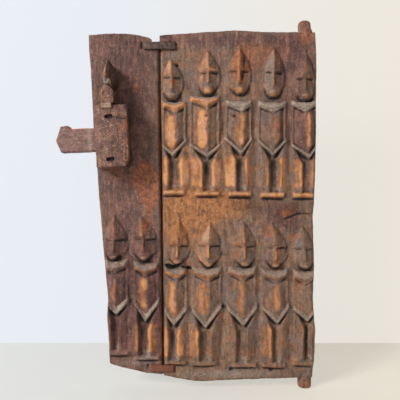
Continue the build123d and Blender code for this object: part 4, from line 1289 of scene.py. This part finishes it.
class GRANARY_OT_stage(bpy.types.Operator):
    """Sets the camera, the soft light, the pale floor and the wall"""

    bl_idname = "granary.stage"
    bl_label = "Stage"

    def execute(self, context):
        settings = context.scene.granary_stage
        scene = context.scene
        scene.view_settings.view_transform = "Standard"
        data = bpy.data.cameras.new("camera")
        data.sensor_width = 36.0
        data.lens = 36.0 * settings.distance / settings.frame_width
        camera = placed("camera", data)
        camera.location = (settings.middle_x, FRONT - settings.distance, settings.middle_z)
        camera.rotation_euler = (math.pi / 2, 0, 0)
        scene.camera = camera

        wall_y = FRONT + settings.wall_distance
        floor, wall = (
            mesh_object(name, [(-ROOM, *near), (ROOM, *near), (ROOM, *far), (-ROOM, *far)], [[0, 1, 2, 3]])
            for name, near, far in (("floor", (-ROOM, 0), (wall_y, 0)), ("wall", (wall_y, 0), (wall_y, ROOM)))
        )
        floor.data.materials.append(
            plain_finish("floor_stone", tuple(settings.floor_colour), (250, 242, 227), 0.54)
        )
        wall.data.materials.append(
            plain_finish("wall_plaster", tuple(settings.wall_colour), (240, 235, 225), 0.88)
        )

        middle = (settings.middle_x, FRONT, settings.middle_z)
        area_light("key", (-2.38, -1.97, 1.78), middle, 1.1, settings.key_power, (1.0, 0.985, 0.96))
        area_light("fill", (0.4, -2.0, 1.1), middle, 1.6, 6.0, (0.96, 0.98, 1.0))
        world = bpy.data.worlds.new("room")
        world.use_nodes = True
        background = world.node_tree.nodes["Background"].inputs
        background["Color"].default_value = (0.9, 0.94, 1.0, 1.0)
        background["Strength"].default_value = 0.30
        scene.world = world
        return {"FINISHED"}


# ---- Boards ----
# The pegs are (radius, height, shift across) in millimetres
UPPER_PEG = (
    (12.4, 590, 2.8), (13.4, 612, 3.0), (13.0, 628, 2.4), (12.0, 634.5, 1.2), (11.4, 638, 0.3),
    (11.4, 642, 0), (11.1, 645.4, 0), (10.0, 648, 0), (7.6, 649.9, 0), (4.4, 650.8, 0), (1.6, 651, 0),
)
LOWER_PEG = ((8.5, 0.0, 0), (10.4, 0.7, 0), (11.6, 2.2, 0), (12.0, 4.4, 0), (12.0, 18.0, 0), (11.8, 52.0, 0))


class DoorBoards(bpy.types.PropertyGroup):
    step: FloatProperty(
        name="Carving step", description="Spacing of the carved faces' vertices", default=0.0015, unit="LENGTH"
    )
    seed: IntProperty(name="Seed", description="Seed of the wood's unevenness", default=11)


class GRANARY_OT_boards(bpy.types.Operator):
    """Carves the two boards with their rows of figures and the pivot pegs"""

    bl_idname = "granary.boards"
    bl_label = "Boards"

    def execute(self, context):
        settings = context.scene.granary_boards
        wood = board_finish()
        step = settings.step / MM
        right = board_mesh("right_plank", RIGHT_EDGES, carve_right_board, step, settings.seed)
        add_peg(right, UPPER_PEG, settings.seed + 1)
        add_peg(right, LOWER_PEG, settings.seed + 2)
        left = board_mesh("left_plank", LEFT_EDGES, carve_left_board, step, settings.seed + 5)
        for piece, node in ((right, "right_board"), (left, "left_board")):
            piece.data.materials.append(wood)
            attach(piece, "door")
            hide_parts(node)
        return {"FINISHED"}


class DoorLock(bpy.types.PropertyGroup):
    voxel: FloatProperty(
        name="Lock detail", description="Size of the lock's carved facets", default=0.00085, unit="LENGTH"
    )
    seed: IntProperty(name="Seed", description="Seed of the lock wood's unevenness", default=31)
    case_colour: FloatVectorProperty(
        name="Case colour", description="Lighter tone of the case", subtype="COLOR", size=4,
        default=tone(126, 84, 68), min=0, max=1,
    )
    bolt_colour: FloatVectorProperty(
        name="Bolt colour", description="Lighter tone of the bolt", subtype="COLOR", size=4,
        default=tone(142, 104, 96), min=0, max=1,
    )


class GRANARY_OT_case(bpy.types.Operator):
    """Dresses the lock case with its bust, scratches and worn edges, with painted highlight on the left edge and
    painted shade on the right side
    """

    bl_idname = "granary.case"
    bl_label = "Lock case"

    def execute(self, context):
        settings = context.scene.granary_lock
        case = worn_copy("lock_case", "case_block", settings.voxel)
        carve_copy(case, carve_case, case_skin, settings.seed)
        lighter = tuple(settings.case_colour)
        finish = lock_finish("case_wood", (74, 44, 38), lighter, (152, 82, 44), (1.0, 1.0, 0.12))
        case.data.materials.append(finish)
        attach(case, "door")
        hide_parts("lock_case")
        return {"FINISHED"}


class GRANARY_OT_bolt(bpy.types.Operator):
    """Dresses the sliding bolt"""

    bl_idname = "granary.bolt"
    bl_label = "Bolt"

    def execute(self, context):
        settings = context.scene.granary_lock
        bolt = worn_copy("lock_bolt", "bolt_bar", settings.voxel)
        carve_copy(bolt, carve_bolt, bolt_skin, settings.seed + 7)
        lighter = tuple(settings.bolt_colour)
        finish = lock_finish("bolt_wood", (98, 66, 62), lighter, (164, 90, 68), (0.12, 1.0, 1.0))
        bolt.data.materials.append(finish)
        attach(bolt, "bolt")
        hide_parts("lock_bolt")
        return {"FINISHED"}


# ---- Irons ----
CLINCH = 0.016  # the bent ends of the staples' legs
STAPLES = (("upper_staple", 0.25, 0.0016), ("lower_staple", 0.9, 0.0008))  # node, rust and bow of the strap


class DoorIron(bpy.types.PropertyGroup):
    strap: FloatProperty(name="Strap", description="Thickness of the staples", default=0.004, unit="LENGTH")
    nail: FloatProperty(name="Nail", description="Width of the nails' shanks", default=0.0042, unit="LENGTH")
    pin: FloatProperty(name="Pin", description="Width of the locking pins' shanks", default=0.0031, unit="LENGTH")
    dent: FloatProperty(name="Dents", description="Depth of the hammer's dents", default=0.0004, unit="LENGTH")


class GRANARY_OT_irons(bpy.types.Operator):
    """Forges the staples, the nails and the locking pins"""

    bl_idname = "granary.irons"
    bl_label = "Irons"

    def execute(self, context):
        settings = context.scene.granary_iron
        iron = iron_finish()
        upright, turned = forging_tree(True), forging_tree(False)
        for number, (node, rust, bow) in enumerate(STAPLES):
            low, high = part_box(node)
            half = settings.strap / 2
            clinch = CLINCH - half
            front, back = low.y + half, high.y - half
            left, right, middle = low.x + half, high.x - half, (low.x + high.x) / 2
            plan = ((left + clinch, back), (left, back), (left, front), (middle, front - bow), (right, front),
                    (right, back), (right - clinch, back))
            path = [(x, y, (low.z + high.z) / 2) for x, y in plan]
            sizes = (settings.strap, high.z - low.z, half, settings.dent, float(number))
            staple = forged(f"{node}_strap", upright, path, [0.7, 1, 1, 1.02, 1, 1, 0.7], sizes, iron, rust)
            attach(staple, "door")
            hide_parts(node)
        for number, node in enumerate(("upper_nail", "lower_nail")):
            nail = self.nail(node, settings, turned, upright, iron, number + 5.0)
            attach(nail, "door")
            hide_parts(node)
        for number in range(1, 5):
            node = f"tumbler_{number}"
            low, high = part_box(node)
            middle, half = lock_place((low + high) / 2), (high.z - low.z) / 2 / MM - 0.15
            levels = (-half, 1.2 - half, half - 2.9, half - 2.6, half)
            path = [on_lock(middle.x, middle.y + t, middle.z) for t in levels]
            sizes = (settings.pin, settings.pin, 0.0, settings.dent * 0.25, 9.0 + number)
            pin = forged(f"pin_{number}", turned, path, [0.6, 1, 1, 1.95, 1.9], sizes, iron, 0.5)
            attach(pin, node)
            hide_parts(node)
        return {"FINISHED"}

    def nail(self, node, settings, turned, upright, iron, seed):
        """A shank through case and board, clinched behind, with its flattened head."""
        low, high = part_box(node)
        across, up = lock_place((low + high) / 2).x, lock_place(high).y
        half, head, behind = settings.nail / 2 / MM, (FRONT - low.y) / MM, (FRONT - high.y) / MM
        up, behind = up - half - 0.6, behind + half
        path = [on_lock(across, up, head - 5), on_lock(across, up, behind), on_lock(across, up - 15, behind)]
        sizes = (settings.nail, settings.nail, 0.002, settings.dent * 0.6, seed)
        shank = forged(f"{node}_shank", turned, path, [1, 1, 0.55], sizes, iron, 0.55)
        path = [on_lock(across + t, up, head - 4.8) for t in (-5.6, 0, 5.6)]
        sizes = (0.0019, 0.0048, 0.0, settings.dent * 0.6, seed + 20)
        joined(shank, forged("plate", upright, path, [0.55, 1, 0.55], sizes, iron, 0.3))
        return shank


class GRANARY_PT_panel(bpy.types.Panel):
    """Lists the pieces of the door"""

    bl_label = "Granary Door"
    bl_idname = "GRANARY_PT_panel"
    bl_space_type = "VIEW_3D"
    bl_region_type = "UI"
    bl_category = "Granary Door"

    def draw(self, context):
        for settings in GROUPS:
            group = getattr(context.scene, settings)
            for name in group.__annotations__:
                self.layout.prop(group, name)
        for operator in OPERATORS:
            self.layout.operator(operator.bl_idname)


GROUPS = {
    "granary_stage": DoorStage,
    "granary_boards": DoorBoards,
    "granary_lock": DoorLock,
    "granary_iron": DoorIron,
}
OPERATORS = (GRANARY_OT_stage, GRANARY_OT_boards, GRANARY_OT_case, GRANARY_OT_bolt, GRANARY_OT_irons)


def register():
    """Adds the settings, the operators and the panel to Blender."""
    for group in GROUPS.values():
        bpy.utils.register_class(group)
    for name, group in GROUPS.items():
        setattr(bpy.types.Scene, name, PointerProperty(type=group))
    for item in OPERATORS + (GRANARY_PT_panel,):
        bpy.utils.register_class(item)


def unregister():
    """Takes them out again."""
    for item in (GRANARY_PT_panel,) + OPERATORS[::-1]:
        bpy.utils.unregister_class(item)
    for name, group in GROUPS.items():
        delattr(bpy.types.Scene, name)
        bpy.utils.unregister_class(group)


def main():
    """Builds the whole scene."""
    register()
    bpy.ops.granary.stage()
    bpy.ops.granary.boards()
    bpy.ops.granary.case()
    bpy.ops.granary.bolt()
    bpy.ops.granary.irons()


if __name__ == "__main__":
    main()
